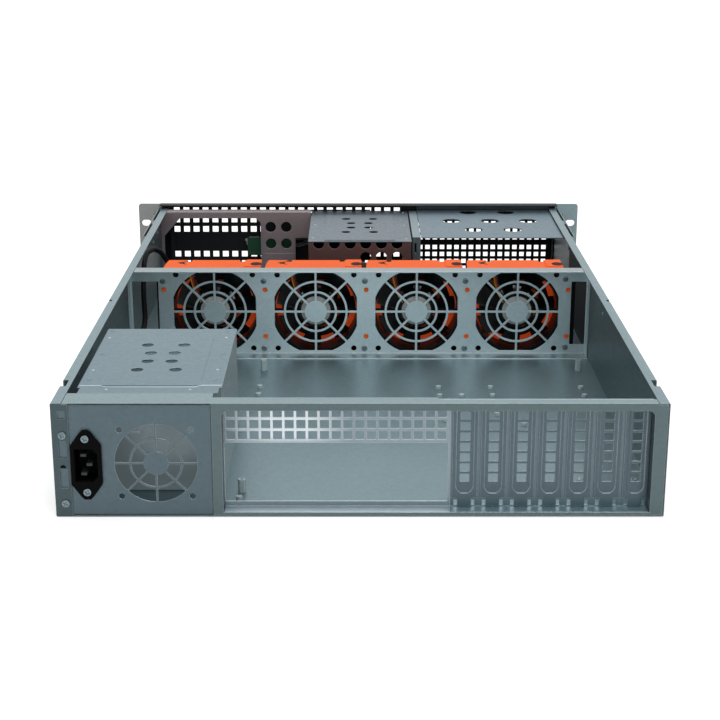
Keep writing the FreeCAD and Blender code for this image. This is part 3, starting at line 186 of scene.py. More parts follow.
# Moulded surface: a fine even grain with slow changes of tone, for plastic, rubber, film,
# varnish, powder coat and plated studs.
moulded, group_in, group_out = new_group(
    "moulded surface",
    [
        ("Colour", COLOUR, WHITE), ("Grain Scale", FLOAT, 900.0), ("Tone Change", FLOAT, 0.12),
        ("Gloss Change", FLOAT, 0.1), ("Roughness", FLOAT, 0.4),
    ],
    [("Colour", COLOUR), ("Roughness", FLOAT), ("Height", FLOAT)],
)
place = moulded.nodes.new("ShaderNodeTexCoord").outputs["Object"]
grain = noise(moulded, place, group_in.outputs["Grain Scale"])
tone = swing(moulded, noise(moulded, place, 35.0, 3.0), group_in.outputs["Tone Change"])
gloss = calculate(
    moulded, "MULTIPLY_ADD", grain, group_in.outputs["Gloss Change"], group_in.outputs["Roughness"],
)
moulded.links.new(multiply(moulded, group_in.outputs["Colour"], tone), group_out.inputs["Colour"])
moulded.links.new(gloss, group_out.inputs["Roughness"])
moulded.links.new(grain, group_out.inputs["Height"])


def lay_finish(tree, shader, group, colour, roughness, bump, strength, values):
    """Places a finish group before a shader, with its height as bump, and returns both nodes.

    Each further value's name is its socket's label, with underlines for spaces.
    """
    node = tree.nodes.new("ShaderNodeGroup")
    node.node_tree = group
    node.inputs["Colour"].default_value = (*colour, 1.0)
    node.inputs["Roughness"].default_value = roughness
    for label, value in values.items():
        node.inputs[label.replace("_", " ")].default_value = value
    relief = tree.nodes.new("ShaderNodeBump")
    relief.inputs["Distance"].default_value = bump
    relief.inputs["Strength"].default_value = strength
    tree.links.new(node.outputs["Colour"], shader.inputs["Base Color"])
    tree.links.new(node.outputs["Roughness"], shader.inputs["Roughness"])
    tree.links.new(node.outputs["Height"], relief.inputs["Height"])
    tree.links.new(relief.outputs["Normal"], shader.inputs["Normal"])
    return node, relief


def moulded_material(name, colour, roughness, bump=0.0001, specular=0.5, **values):
    """A plastic, film or rubber finish on the moulded surface group."""
    material, tree, shader = new_material(name, 0.0, roughness)
    shader.inputs["Specular IOR Level"].default_value = specular
    lay_finish(tree, shader, moulded, colour, roughness, bump, 0.5, values)
    return material


def coat(material, *names):
    """Gives CAD nodes their finish."""
    for name in names:
        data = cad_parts[name].data
        data.materials.clear()
        data.materials.append(material)


lead_black = moulded_material("lead sleeve", (0.003, 0.003, 0.004), 0.5, specular=0.08)
lead_curve.materials.append(lead_black)
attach(power_cord, "case")
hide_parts("power_lead")
coat(moulded_material("connector shell", (0.02, 0.02, 0.022), 0.35, specular=0.3), "power_lead_connector")


# ---- Chassis tray ----------------------------------------------------------------------------
# Floor, side walls and lid flanges are one sheet of zinc-coated steel, folded up.
# The coating has a fine crystal pattern and faint rolling lines.


def fade(group, source, start, full, begin=0.0, end=1.0):
    """begin where source is short of start, end where it is past full, and an even change between."""
    node = group.nodes.new("ShaderNodeMapRange")
    group.links.new(source, node.inputs["Value"])
    node.inputs["From Min"].default_value = start
    node.inputs["From Max"].default_value = full
    node.inputs["To Min"].default_value = begin
    if isinstance(end, float):
        node.inputs["To Max"].default_value = end
    else:
        group.links.new(end, node.inputs["To Max"])
    return node.outputs["Result"]


# Zinc coating: crystals, rolling lines and slow clouds, then painted light and shade by the way the sheet
# faces, painted highlights on folds and edges, and a painted glint over the connector window.
coated, group_in, group_out = new_group(
    "zinc coating with painted light",
    [
        ("Colour", COLOUR, WHITE), ("Crystal Contrast", FLOAT, 0.07), ("Line Contrast", FLOAT, 0.06),
        ("Cloud Contrast", FLOAT, 0.08), ("Roughness", FLOAT, 0.4), ("Top Tone", FLOAT, 1.0),
        ("Rear Tone", FLOAT, 1.0), ("Edge Light", FLOAT, 0.5), ("Glint", FLOAT, 0.0),
        ("Fold", "NodeSocketVector", (0.0, 0.0, 0.0)),
    ],
    [("Colour", COLOUR), ("Roughness", FLOAT), ("Height", FLOAT)],
)
coordinates = coated.nodes.new("ShaderNodeTexCoord")
place = coordinates.outputs["Object"]
crystals = coated.nodes.new("ShaderNodeTexVoronoi")
crystals.inputs["Scale"].default_value = 420.0
coated.links.new(place, crystals.inputs["Vector"])
crystal = coated.nodes.new("ShaderNodeSeparateColor")
coated.links.new(crystals.outputs["Color"], crystal.inputs["Color"])
stretch = coated.nodes.new("ShaderNodeMapping")
stretch.inputs["Scale"].default_value = (1.0, 0.08, 1.0)
coated.links.new(place, stretch.inputs["Vector"])
lines = noise(coated, stretch.outputs["Vector"], 1300.0)
clouds = noise(coated, place, 9.0, 4.0)
shade = group_in.outputs["Colour"]
for pattern, contrast in ((crystal.outputs["Red"], "Crystal"), (lines, "Line"), (clouds, "Cloud")):
    shade = multiply(coated, shade, swing(coated, pattern, group_in.outputs[f"{contrast} Contrast"]))
# Painted light and shade: sheet that lies flat, and sheet that faces the rear, are multiplied by
# their own factors, which paint in how light falls on them unlike.
facing = coated.nodes.new("ShaderNodeSeparateXYZ")
coated.links.new(coordinates.outputs["Normal"], facing.inputs["Vector"])
for part, start, full, label in (("Z", 0.6, 0.8, "Top Tone"), ("Y", -0.6, -0.8, "Rear Tone")):
    tone = fade(coated, facing.outputs[part], start, full, 1.0, group_in.outputs[label])
    shade = multiply(coated, shade, tone)
# Painted highlight on folds and punched edges: the mask is how far the rounded normal leans from
# the face, and there the colour is mixed towards a pale highlight.
true_face = coated.nodes.new("ShaderNodeNewGeometry")
lean = coated.nodes.new("ShaderNodeVectorMath")
lean.operation = "DOT_PRODUCT"
coated.links.new(group_in.outputs["Fold"], lean.inputs[0])
coated.links.new(true_face.outputs["True Normal"], lean.inputs[1])
fold_highlight_mask = fade(coated, lean.outputs["Value"], 0.97, 0.80)
painted_edge_light = calculate(coated, "MULTIPLY", fold_highlight_mask, group_in.outputs["Edge Light"])
# A painted glint over the connector window fades in x from its middle, and in z from its foot.
GLINT_MIDDLE = -0.050
spot = coated.nodes.new("ShaderNodeSeparateXYZ")
coated.links.new(place, spot.inputs["Vector"])
distance = calculate(coated, "ABSOLUTE", calculate(coated, "ADD", spot.outputs["X"], -GLINT_MIDDLE))
painted_glint = group_in.outputs["Glint"]
for source, start, full in ((distance, 0.042, 0.012), (spot.outputs["Z"], 0.050, 0.056)):
    painted_glint = calculate(coated, "MULTIPLY", fade(coated, source, start, full), painted_glint)
painted_highlight_mix = coated.nodes.new("ShaderNodeMix")
painted_highlight_mix.data_type = "RGBA"
coated.links.new(calculate(coated, "MAXIMUM", painted_edge_light, painted_glint), painted_highlight_mix.inputs["Factor"])
coated.links.new(shade, painted_highlight_mix.inputs["A"])
painted_highlight_mix.inputs["B"].default_value = (0.72, 0.79, 0.82, 1.0)
rough = calculate(coated, "MULTIPLY_ADD", crystal.outputs["Green"], 0.08, group_in.outputs["Roughness"])
coated.links.new(painted_highlight_mix.outputs["Result"], group_out.inputs["Colour"])
coated.links.new(rough, group_out.inputs["Roughness"])
coated.links.new(lines, group_out.inputs["Height"])


def steel_material(
    name, colour, roughness=0.34, metallic=0.85, bump=0.00004, fold_radius=0.0005, **values,
):
    """A bare or zinc-coated sheet finish on the coating group, with its folds softened and painted
    highlights along them.
    """
    material, tree, shader = new_material(name, metallic, roughness)
    node, relief = lay_finish(tree, shader, coated, colour, roughness, bump, 0.4, values)
    fold = tree.nodes.new("ShaderNodeBevel")
    fold.samples = 4
    fold.inputs["Radius"].default_value = fold_radius
    tree.links.new(fold.outputs["Normal"], relief.inputs["Normal"])
    tree.links.new(fold.outputs["Normal"], node.inputs["Fold"])
    return material


# The tray's flat sheet is painted lighter and its rear-facing sheet darker, with painted highlights on its
# edges.
coat(
    steel_material("tray steel", (0.098, 0.14, 0.153), Top_Tone=2.05, Rear_Tone=0.58, Edge_Light=0.4),
    "chassis_tray",
)


# ---- Rear face -------------------------------------------------------------------------------
# The frame round the connector recess, the panel set back in it and the inlet plate
# are separate folded sheets, riveted and screwed together.
# Below, flat sheet is painted lighter and folds and edges get painted highlights; the connector panel also
# takes a painted glint.
coat(steel_material("rear steel", (0.094, 0.13, 0.138), Top_Tone=2.3), "rear_frame")
coat(steel_material(
    "connector panel steel", (0.225, 0.272, 0.298), Top_Tone=1.8, Edge_Light=1.0, Glint=0.75,
), "connector_panel")
coat(steel_material("slot panel steel", (0.118, 0.163, 0.182), Top_Tone=3.0), "slot_panel")
coat(steel_material(
    "inlet plate steel", (0.086, 0.122, 0.139), fold_radius=0.0008, Edge_Light=0.45,
), "inlet_plate")
coat(steel_material(
    "slot cover steel", (0.08, 0.114, 0.13), fold_radius=0.0009, Edge_Light=0.6,
), *[f"slot_cover_{i}" for i in range(1, 8)])


# ---- Power inlet -----------------------------------------------------------------------------
# A black moulded socket with three flat plated contacts, held by two cross-head screws.
# Two more hold the strip beside it, and a thin gap runs over the plate.
coat(moulded_material(
    "inlet shell", (0.002, 0.002, 0.0025), 0.5, specular=0.04, Grain_Scale=1500.0,
), "power_inlet")
coat(steel_material("contact plating", (0.035, 0.04, 0.04), 0.5, 0.6, Edge_Light=0.0), "inlet_contacts")
screw_steel = steel_material("screw zinc", (0.19, 0.245, 0.265), 0.26, 0.9, Edge_Light=0.0)
SHARP_ANGLE = np.radians(35.0)


def new_piece(name, vertices, faces, body, material):
    """A mesh object at the origin with merged poles and outward faces, riding on a body."""
    mesh = bpy.data.meshes.new(name)
    mesh.from_pydata(vertices.reshape(-1, 3).tolist(), [], faces)
    work = bmesh.new()
    work.from_mesh(mesh)
    bmesh.ops.remove_doubles(work, verts=work.verts, dist=1e-7)
    bmesh.ops.recalc_face_normals(work, faces=work.faces)
    work.to_mesh(mesh)
    work.free()
    mesh.materials.append(material)
    piece = bpy.data.objects.new(name, mesh)
    scene.collection.objects.link(piece)
    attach(piece, body)
    return piece


def piece_from(name, vertices, faces, body, material):
    """A rounded piece: a new piece that is shaded smooth, except over sharp angles."""
    piece = new_piece(name, vertices, faces.reshape(-1, 4).tolist(), body, material)
    piece.data.shade_smooth()
    piece.data.set_sharp_from_angle(angle=SHARP_ANGLE)
    return piece


def grid_faces(count, rows, columns):
    """Quads of count grids of rows by columns points, whose columns close on themselves."""
    row, column = np.meshgrid(np.arange(rows - 1), np.arange(columns), indexing="ij")
    after = (column + 1) % columns
    here, above = row * columns, (row + 1) * columns
    quads = np.stack([here + column, here + after, above + after, above + column], -1)
    return quads.reshape(1, -1, 4) + (np.arange(count) * rows * columns).reshape(-1, 1, 1)


AXIS_ORDER = {"x": (1, 2, 0), "y": (2, 0, 1), "z": (0, 1, 2)}


def placed(places_mm, axis, across, up, along):
    """One shape at each place: its three parts are put in the order of the axis, in metres."""
    first, second, third = AXIS_ORDER[axis]
    shape = np.zeros((*np.broadcast(across, up, along).shape, 3))
    shape[..., first], shape[..., second], shape[..., third] = across, up, along
    return (np.array(places_mm, float).reshape(-1, 1, 1, 3) + shape) / 1000.0


def turned(places_mm, profile_mm, axis, steps):
    """Surfaces of revolution: the profile's (radius, height) rows turned about an axis at each place."""
    angle = np.linspace(0.0, 2 * np.pi, steps, endpoint=False)
    radius, along = np.array(profile_mm, float).T[..., None]
    points = placed(places_mm, axis, radius * np.cos(angle), radius * np.sin(angle), along)
    return points, grid_faces(len(points), len(radius), steps)


def extruded(name, loop_mm, low, high, axis, body, material):
    """A closed outline carried straight along an axis from low to high, with both ends closed.

    The outline's two columns are the two other coordinates, in the order x, y, z.
    """
    loop = np.array(loop_mm, float)
    count = len(loop)
    third = "xyz".index(axis)
    first, second = [k for k in range(3) if k != third]
    points = np.zeros((2, count, 3))
    points[..., first], points[..., second] = loop[:, 0], loop[:, 1]
    points[0, :, third], points[1, :, third] = low, high
    sides = grid_faces(1, 2, count).reshape(-1, 4).tolist()
    ends = [list(range(count)), list(range(count, 2 * count))]
    new_piece(name, points / 1000.0, sides + ends, body, material)


def rectangle(low, high):
    """The four corners of an outline between two opposite corners."""
    return [low, (high[0], low[1]), high, (low[0], high[1])]


def cross_heads(name, places_mm, radius, height, stands_for=()):
    """Pan heads with a cross recess that face the rear, on a grid of radius by angle.

    The head is a dome that loses a third of its height at its rim. Inside the cross, where
    the smaller of |u| and |v| is under a sixth of the radius, the dome is sunk by 0.62 of
    its height. A closing ring and pole lie on the sheet.
    """
    rows, steps = 16, 48
    cross_angle = 0.4
    reach = np.concatenate([np.linspace(0.0, 1.0, rows), [1.0, 0.0]])[:, None] * radius
    turn = np.linspace(0.0, 2 * np.pi, steps, endpoint=False)[None, :]
    dome = height * (1.0 - 0.33 * (reach / radius) ** 2) + 0.0 * turn
    slot_width = np.minimum(np.abs(reach * np.cos(turn)), np.abs(reach * np.sin(turn)))
    inside = (slot_width < 0.17 * radius) & (reach < 0.62 * radius)
    dome = np.where(inside, dome - 0.62 * height, dome)
    dome[-2:] = 0.0
    across, up = reach * np.cos(turn + cross_angle), reach * np.sin(turn + cross_angle)
    points = placed(places_mm, "y", across, up, -dome)
    faces = grid_faces(len(points), rows + 2, steps)
    head = piece_from(name, points, faces, "case", screw_steel)
    if stands_for:
        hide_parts(*stands_for)


cross_heads(
    "inlet_and_strip_screws",
    [(-208.5, -330.05, 10.1), (-208.5, -330.05, 61.3), (-192.5, -331.6, 19.3), (-192.5, -331.6, 59.3)],
    radius=2.75, height=1.4, stands_for=("case_screws",),
)
# The inlet plate's upper edge stands off the frame by a gap, and a thin black strip lies in it as painted
# shadow.
shadow_black = moulded_material("gap shade", (0.004, 0.005, 0.006), 0.7, specular=0.05)
extruded(
    "inlet_plate_gap_shadow", rectangle((-331.62, 84.75), (-331.3, 85.25)), -203.6, -104.4, "x",
    "case", shadow_black,
)
# A black half-round sheet beside the inlet is the painted shade of a hole in the strip.
sweep = np.linspace(0.0, np.pi, 12)
extruded(
    "strip_hole_shade", np.c_[-209.0 + 2.1 * np.cos(sweep), 36.9 + 2.3 * np.sin(sweep)], -330.14, -330.0, "y",
    "case", shadow_black,
)


# ---- Drive cages -----------------------------------------------------------------------------
# Each cage is a folded body under a flat cover, which is pressed up in the middle and
# held by six flush rivets down its sides.
# The cage steels carry painted highlights on their edges, and the front cage's flat sheet is painted
# lighter.
cover_steel = steel_material("cover steel", (0.155, 0.227, 0.265))
coat(cover_steel, "rear_cage_cover")
rear_cage_steel = steel_material("rear cage steel with painted glow", (0.14, 0.17, 0.185))


def glow(shader, colour, strength):
    """Paints light into a surface: it gives out a little even light, though it is no lamp."""
    shader.inputs["Emission Color"].default_value = (*colour, 1.0)
    shader.inputs["Emission Strength"].default_value = strength


# Painted light: the cage's steel glows a little, standing in for light from the floor and the plate's
# back, to keep the cage's inside even.
glow(rear_cage_steel.node_tree.nodes["Principled BSDF"], (0.74, 0.94, 1.0), 0.08)
coat(rear_cage_steel, "rear_cage")
coat(steel_material("front cage cover steel", (0.127, 0.166, 0.2), Edge_Light=0.2), "front_cage_cover")
coat(steel_material(
    "front cage steel", (0.185, 0.110, 0.104), 0.4, 0.8, Top_Tone=2.2, Edge_Light=0.3,
), "front_cage")


# A flush rivet: a low dome with a dimple, level with the sheet at its rim.
RIVET_HEAD = [(0.0, 0.0), (1.9, 0.0), (1.75, 0.22), (1.2, 0.4), (0.7, 0.22), (0.0, 0.15)]


def rivets(name, places_mm, axis="z", scale=1.0, flip=False, material=cover_steel):
    """Flush rivets standing on the given places along an axis, or against it."""
    profile = np.array(RIVET_HEAD) * scale * (1.0, -1.0 if flip else 1.0)
    vertices, faces = turned(places_mm, profile, axis, steps=12)
    piece_from(name, vertices, faces, "case", material)


def wire(points_mm, radius, reference=(0.0, 1.0, 0.0)):
    """A round section carried along straight runs and arcs through the corner points.

    Each ring is the path's point plus the radius times cos and sin of the turn, along two
    directions square to the path's tangent. A pole closes each end.
    """
    sides = 8
    path = rounded_path(np.array(points_mm, float), steps=7)
    tangent = np.gradient(path, axis=0)
    tangent /= np.linalg.norm(tangent, axis=1, keepdims=True)
    side = np.cross(tangent, reference)
    side /= np.linalg.norm(side, axis=1, keepdims=True)
    up = np.cross(side, tangent)
    angle = np.linspace(0.0, 2 * np.pi, sides, endpoint=False)[None, :, None]
    tube = path[:, None] + radius * (side[:, None] * np.cos(angle) + up[:, None] * np.sin(angle))
    first, last = (np.repeat(point[:, None], sides, 1) for point in (path[:1], path[-1:]))
    tube = np.concatenate([first, tube, last], 0)
    return tube / 1000.0, grid_faces(1, len(path) + 2, sides)


# The covers' rims lie this far below their pressed-up middles.
PRESSED_UP = 0.7
cover_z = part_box("rear_cage_cover")[1][2] * 1000.0 - PRESSED_UP
# Pale steel paints highlights onto small heads and the bead.
pale_highlight_steel = steel_material("pale steel for painted highlights", (0.55, 0.62, 0.64), Edge_Light=0.0)
COVER_RIVETS = {
    "rear_cover_screws": ([
        (-199.6, -142.5), (-198.6, -205.1), (-198.5, -267.8), (-106.4, -141.0), (-106.3, -203.6),
        (-106.3, -267.6),
    ], 1.0, cover_steel),
    "rear_cover_dimples": ([
        (-199.6, -162.2), (-106.6, -160.8), (-199.3, -245.7), (-106.4, -244.2), (-182.7, -290.8),
        (-122.4, -290.7),
    ], 0.6, pale_highlight_steel),
    "front_cover_screws": ([
        (-45.8, 315.0), (-45.7, 251.0), (-46.3, 190.0), (48.6, 312.3), (47.9, 249.4), (48.3, 187.0),
    ], 0.6, pale_highlight_steel),
}
for name, (places, scale, material) in COVER_RIVETS.items():
    rivets(name, [(x, y, cover_z) for x, y in places], scale=scale, material=material)
# A pressed bead runs along the cover's rear fold, and steps back beside the raised middle; its pale steel
# is a painted highlight along the fold.
bead, bead_faces = wire([
    (-203.9, -282.3, 82.0), (-188.0, -282.3, 82.0), (-184.5, -285.3, 82.0),
    (-119.0, -285.3, 82.0), (-115.5, -281.5, 82.0), (-100.2, -281.5, 82.0),
], radius=0.38, reference=(0.0, 0.0, 1.0))
piece_from("rear_cover_bead", bead, bead_faces, "case", pale_highlight_steel)


# ---- Fan wall --------------------------------------------------------------------------------
# One sheet with four stamped finger guards. Flanges fold back at its top and foot, rivets
# hold the foot to the floor, and small screws stand in the sheet between the guards.
# The wall's pale colour is painted light, its flat flanges are painted darker on top, and its edges get
# painted highlights.
coat(steel_material("fan wall steel", (0.6, 0.72, 0.75), Top_Tone=0.48, Edge_Light=0.3), "fan_wall")
FAN_ROW_MIDDLE, FAN_PITCH = 6.7, 94.6
FAN_PLACES = [FAN_ROW_MIDDLE + FAN_PITCH * (i - 1.5) for i in range(4)]
WALL_Y = 54.0
RAIL_SCREW_PLACES = [
    (-183.3, 72.4), (-89.2, 72.5), (5.4, 72.5), (99.4, 72.6), (192.6, 74.6), (-89.4, 6.7), (5.2, 6.7),
    (99.6, 6.8), (194.9, 8.0),
]
cross_heads("rail_screws", [(x, WALL_Y, z) for x, z in RAIL_SCREW_PLACES], radius=2.7, height=1.1)
rivets("foot_screws", [(x, 43.8, 2.0) for x in (-101.6, -50.2, 0.3, 52.0, 103.0, 176.4)], scale=0.9)
# These rivets are pale steel, a painted highlight.
rivets(
    "wall_end_rivets", [(213.5, 50.0, 69.0), (213.5, 49.0, 60.8), (213.5, 47.0, 23.1)], axis="x",
    scale=0.8, flip=True, material=pale_highlight_steel,
)
# Black rubber strips line the inner edges of the two cable windows.
for name, near, far in (("left_window_edging", -188.9, -187.6), ("right_window_edging", 198.8, 202.4)):
    outline = rectangle((near, WALL_Y + 0.1), (far, WALL_Y + 0.9))
    extruded(name, outline, 11.2, 71.8, "z", "case", lead_black)
# A thin black sheet on the right wall ahead of the fans is painted shade, where that wall lies in shadow.
wall_shade_black = moulded_material("painted wall shade", (0.006, 0.006, 0.008), 0.55, specular=0.15)
extruded(
    "right_wall_shade_sheet", [(214.35, 56.5), (214.7, 56.2), (214.7, 188.3), (214.35, 188.0)], 2.5, 82.5, "z",
    "case", wall_shade_black,
)


# ---- Guide rails and fan carriers ------------------------------------------------------------
# Bright orange moulded nylon. The rails snap into the wall with two pegs each, and the
# carriers slide down between them.
orange = moulded_material("orange nylon", (0.79, 0.112, 0.012), 0.5, specular=0.1, Grain_Scale=1200.0)
coat(orange, *[f"guide_rail_{i}" for i in range(1, 6)], *[f"fan_carrier_{i}" for i in range(1, 5)])
# Dark sheets lie in each carrier's arrow pocket and finger recess as painted shade of those hollows.
shaded_orange = moulded_material("painted recess shade orange", (0.035, 0.005, 0.003), 0.6, specular=0.1)
DECK_ARROW = [(-36.4, 78.0), (-26.9, 85.0), (-30.4, 78.0), (-26.9, 71.0)]
around = np.linspace(0.0, 2 * np.pi, 20, endpoint=False)
FINGER_RECESS = np.c_[38.2 + 5.2 * np.cos(around), 71.5 + 6.6 * np.sin(around)]
for i, x in enumerate(FAN_PLACES, start=1):
    for name, outline, low, high in (
        ("deck_arrow_shade", DECK_ARROW, 83.6, 84.08), ("finger_recess_shade", FINGER_RECESS, 84.3, 84.75),
    ):
        moved = np.array(outline) + (x, 0.0)
        extruded(f"{name}_{i}", moved, low, high, "z", f"carrier_{i}", shaded_orange)


# ---- Fans ------------------------------------------------------------------------------------
# A glossy black frame carries a hub on four struts. Seven swept blades turn on the cup,
# and a grey film label covers the back of the hub.
fan_black = moulded_material("fan plastic", (0.006, 0.007, 0.008), 0.28, specular=0.2, Grain_Scale=1500.0)
label_grey = moulded_material("hub label", (0.42, 0.44, 0.43), 0.35, Tone_Change=0.05)
coat(fan_black, *[f"fan_frame_{i}" for i in range(1, 5)])
FAN_Z = 42.8
# The carrier's moulding shows behind the blades and glows a little as painted light, standing in for light
# through its thin walls.
painted_glow_orange, _, lit_shader = new_material("orange nylon with painted glow", 0.0, 0.5)
lit_shader.inputs["Base Color"].default_value = (0.80, 0.125, 0.018, 1.0)
glow(lit_shader, (0.80, 0.075, 0.012), 0.24)
CARRIER_BACK = {"half": 38.5, "corner": 62.0, "hole": 33.5, "low": 85.8, "high": 86.9}
CARRIER_SCREEN = {"half": 34.0, "corner": 60.0, "hole": 17.0, "low": 87.2, "high": 87.9}


def open_plate(centre, half, corner, hole, low, high):
    """A square plate with cut corners and a round hole, as a loop of five rings of points.

    By angle, the outer ring is the nearer of the square's side and the line x + z = corner,
    which cuts its corner. The plate lies between low and high in y.
    """
    around = 64
    angle = np.linspace(0.0, 2 * np.pi, around, endpoint=False)
    c, s = np.cos(angle), np.sin(angle)
    outer = np.minimum(half / np.maximum(np.abs(c), np.abs(s)), corner / (np.abs(c) + np.abs(s)))
    inner = np.full(around, float(hole))
    rings = [np.stack([centre[0] + r * c, np.full(around, y), centre[1] + r * s], -1) for r, y in (
        (outer, low), (outer, high), (inner, high), (inner, low), (outer, low),
    )]
    return np.array(rings) / 1000.0


for i, x in enumerate(FAN_PLACES, start=1):
    for name, sizes, slot, material in (
        ("back", CARRIER_BACK, "orange_plastic", painted_glow_orange),
        ("screen", CARRIER_SCREEN, "black_plastic", fan_black),
    ):
        rings = open_plate((x, FAN_Z), **sizes)
        faces = grid_faces(1, *rings.shape[:2])
        piece_from(f"carrier_{name}_{i}", rings, faces, f"carrier_{i}", material)
LABEL_PROFILE = [(0.0, 0.0), (0.0, -0.12), (13.6, -0.12), (13.8, 0.0), (0.0, 0.0)]
CUP_PROFILE = [
    (0.0, 21.5), (0.0, 21.4), (14.5, 21.4), (15.6, 20.8), (16.0, 19.6), (16.0, 0.0), (14.5, 0.0),
    (14.5, 18.0), (1.5, 18.0), (1.5, -2.0), (0.0, -2.0),
]
LABEL_Y, CUP_Y = 58.5, 62.5
BLADE_COUNT = 7
BLADE_ROOT, BLADE_TIP = 15.6, 37.4


def swept_blades():
    """Fan blades, each a flat ellipse section carried outwards from the cup to the tip.

    As out goes from 0 to 1, the section's half length is 7.4 + 3.9 out and its half
    thickness 0.95 - 0.45 out. Its long axis leans by 52 - 20 out degrees, its middle bows
    by 0.8 of -cos of twice the turn, and the blade sweeps forward by 5 times out to 1.6.
    The lean's rise along the axis is eased to 0.78 of itself, about a plane 9.8 from the
    cup's open end.
    """
    radial, around = 14, 24
    out = np.linspace(0.0, 1.0, radial)[:, None]
    turn = np.linspace(0.0, 2 * np.pi, around, endpoint=False)[None, :]
    reach = BLADE_ROOT + out * (BLADE_TIP - BLADE_ROOT)
    chord = 7.4 + 3.9 * out
    lean = np.radians(52.0 - 20.0 * out)
    across, thick = chord * np.cos(turn), (0.95 - 0.45 * out) * np.sin(turn)
    bow = 0.8 * (1.0 - np.cos(turn) ** 2 * 2.0)
    axial = 9.8 + across * np.sin(lean) * 0.78 + (thick + bow) * np.cos(lean)
    tangent = across * np.cos(lean) - (thick + bow) * np.sin(lean) + 5.0 * out**1.6
    angle = tangent / reach
    shape = np.stack([reach * np.sin(angle), axial, reach * np.cos(angle)], -1)
    middle = shape.mean(1, keepdims=True)
    root, tip = (np.repeat(ring, around, 1) for ring in (middle[:1], middle[-1:]))
    shape = np.concatenate([root, shape, tip], 0)
    spin = 2 * np.pi * (np.arange(BLADE_COUNT) + 0.5) / BLADE_COUNT
    c, s = np.cos(spin)[:, None, None], np.sin(spin)[:, None, None]
    x, y, z = shape[..., 0], shape[..., 1], shape[..., 2]
    same_y = np.broadcast_to(y, (BLADE_COUNT, *y.shape))
    blades = np.stack([c * x + s * z, same_y, c * z - s * x], -1)
    return blades, grid_faces(BLADE_COUNT, radial + 2, around)


blades, blade_faces = swept_blades()
for i, x in enumerate(FAN_PLACES, start=1):
    centre = np.array([x, CUP_Y, FAN_Z])
    cup, cup_faces = turned([centre], CUP_PROFILE, "y", steps=48)
    vertices = np.concatenate([((blades + centre) / 1000.0).reshape(-1, 3), cup.reshape(-1, 3)])
    faces = np.concatenate([blade_faces.reshape(-1, 4), cup_faces.reshape(-1, 4) + blades.size // 3])
    rotor = piece_from(f"rotor_{i}_blades", vertices, faces, f"rotor_{i}", fan_black)
    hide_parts(f"fan_rotor_{i}")
    vertices, faces = turned([(x, LABEL_Y, FAN_Z)], LABEL_PROFILE, "y", steps=48)
    piece_from(f"hub_label_{i}", vertices, faces, f"carrier_{i}", label_grey)


# ---- Fan leads -------------------------------------------------------------------------------
# Three thin insulated wires lie side by side from the hub to the top of the frame.
WIRE_COLOURS = {"yellow": (0.62, 0.36, 0.03), "red": (0.55, 0.03, 0.02), "black": (0.02, 0.02, 0.02)}
WIRE_SPACING, WIRE_RADIUS, WIRE_Y = 1.5, 0.55, 57.8
wire_finish = {
    name: moulded_material(f"{name} wire", colour, 0.35) for name, colour in WIRE_COLOURS.items()
}
for i, x in enumerate(FAN_PLACES, start=1):
    for k, name in enumerate(WIRE_COLOURS):
        shift = WIRE_SPACING * (k - 1)
        vertices, faces = wire([
            (x - 11.5 + shift, WIRE_Y, FAN_Z + 9.5 + shift),
            (x - 16.2 + shift, WIRE_Y, FAN_Z + 16.0 + 0.4 * shift),
            (x - 19.4 + shift, WIRE_Y, FAN_Z + 25.0), (x - 22.0 + shift, WIRE_Y, FAN_Z + 38.4),
        ], WIRE_RADIUS)
        strand = piece_from(
            f"fan_wire_{name}_{i}", vertices, faces, f"carrier_{i}", wire_finish[name],
        )
        if name == "yellow":
            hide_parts(f"fan_lead_{i}")


# ---- Supply bracket, divider and bay plate ---------------------------------------------------
# The bracket across the supply bay is plain darker sheet, whose brownish tint is a painted reflection. The
# divider is a folded channel, and the plate over the large bay is zinc-coated sheet with seven round
# holes. Their edges get painted highlights.
coat(steel_material(
    "bracket steel with painted reflection", (0.33, 0.28, 0.29), 0.4, 0.8, Top_Tone=1.0, Edge_Light=0.3,
), "supply_bracket")
coat(steel_material("divider steel", (0.2, 0.278, 0.31), Edge_Light=0.3), "divider_channel")
coat(steel_material("bay plate steel", (0.133, 0.2, 0.247), Edge_Light=0.2), "bay_plate")
# A doubler covers the bracket's lower holes, in the bracket's colour with its painted reflection.
doubler_steel = steel_material("doubler steel with painted reflection", (0.33, 0.28, 0.29), 0.4, 0.8, Edge_Light=0.0)
extruded(
    "bracket_doubler", rectangle((-103.0, 300.6), (-70.5, 301.02)), 4.0, 39.5, "z",
    "case", doubler_steel,
)
# An angle along the bay plate's front edge closes the gap under the front panel's flange; its steel is
# painted dark, as shade under the flange.
angle_steel = steel_material("shaded angle steel", (0.05, 0.062, 0.07), Edge_Light=0.0)
extruded("bay_plate_angle", [
    (319.0, 82.6), (325.4, 82.6), (325.4, 87.2), (324.6, 87.2), (324.6, 83.4), (319.0, 83.4),
], 63.9, 208.0, "x", "case", angle_steel)
# Bright rivets dot the walls' inner faces, on the left through to the ear's long leg; their brightness is
# painted highlight.
WALL_X = 214.8
LEFT_WALL_PLACES = [(-WALL_X, 274.0, 68.4), (-WALL_X, 236.5, 66.8), (-WALL_X, 172.0, 66.8)]
rivets("left_wall_rivets", LEFT_WALL_PLACES, axis="x", scale=0.8, material=pale_highlight_steel)
rivets("right_wall_rivet", [(WALL_X, -31.5, 65.4)], axis="x", scale=0.8, flip=True, material=pale_highlight_steel)


# ---- Front panel, ears and handles -----------------------------------------------------------
# The panel is black powder-coated steel, and the ears and handles are brushed steel.
panel_black = moulded_material(
    "panel powder coat", (0.012, 0.013, 0.015), 0.5, 0.0002, specular=0.2, Grain_Scale=700.0,
)
coat(panel_black, "front_panel")
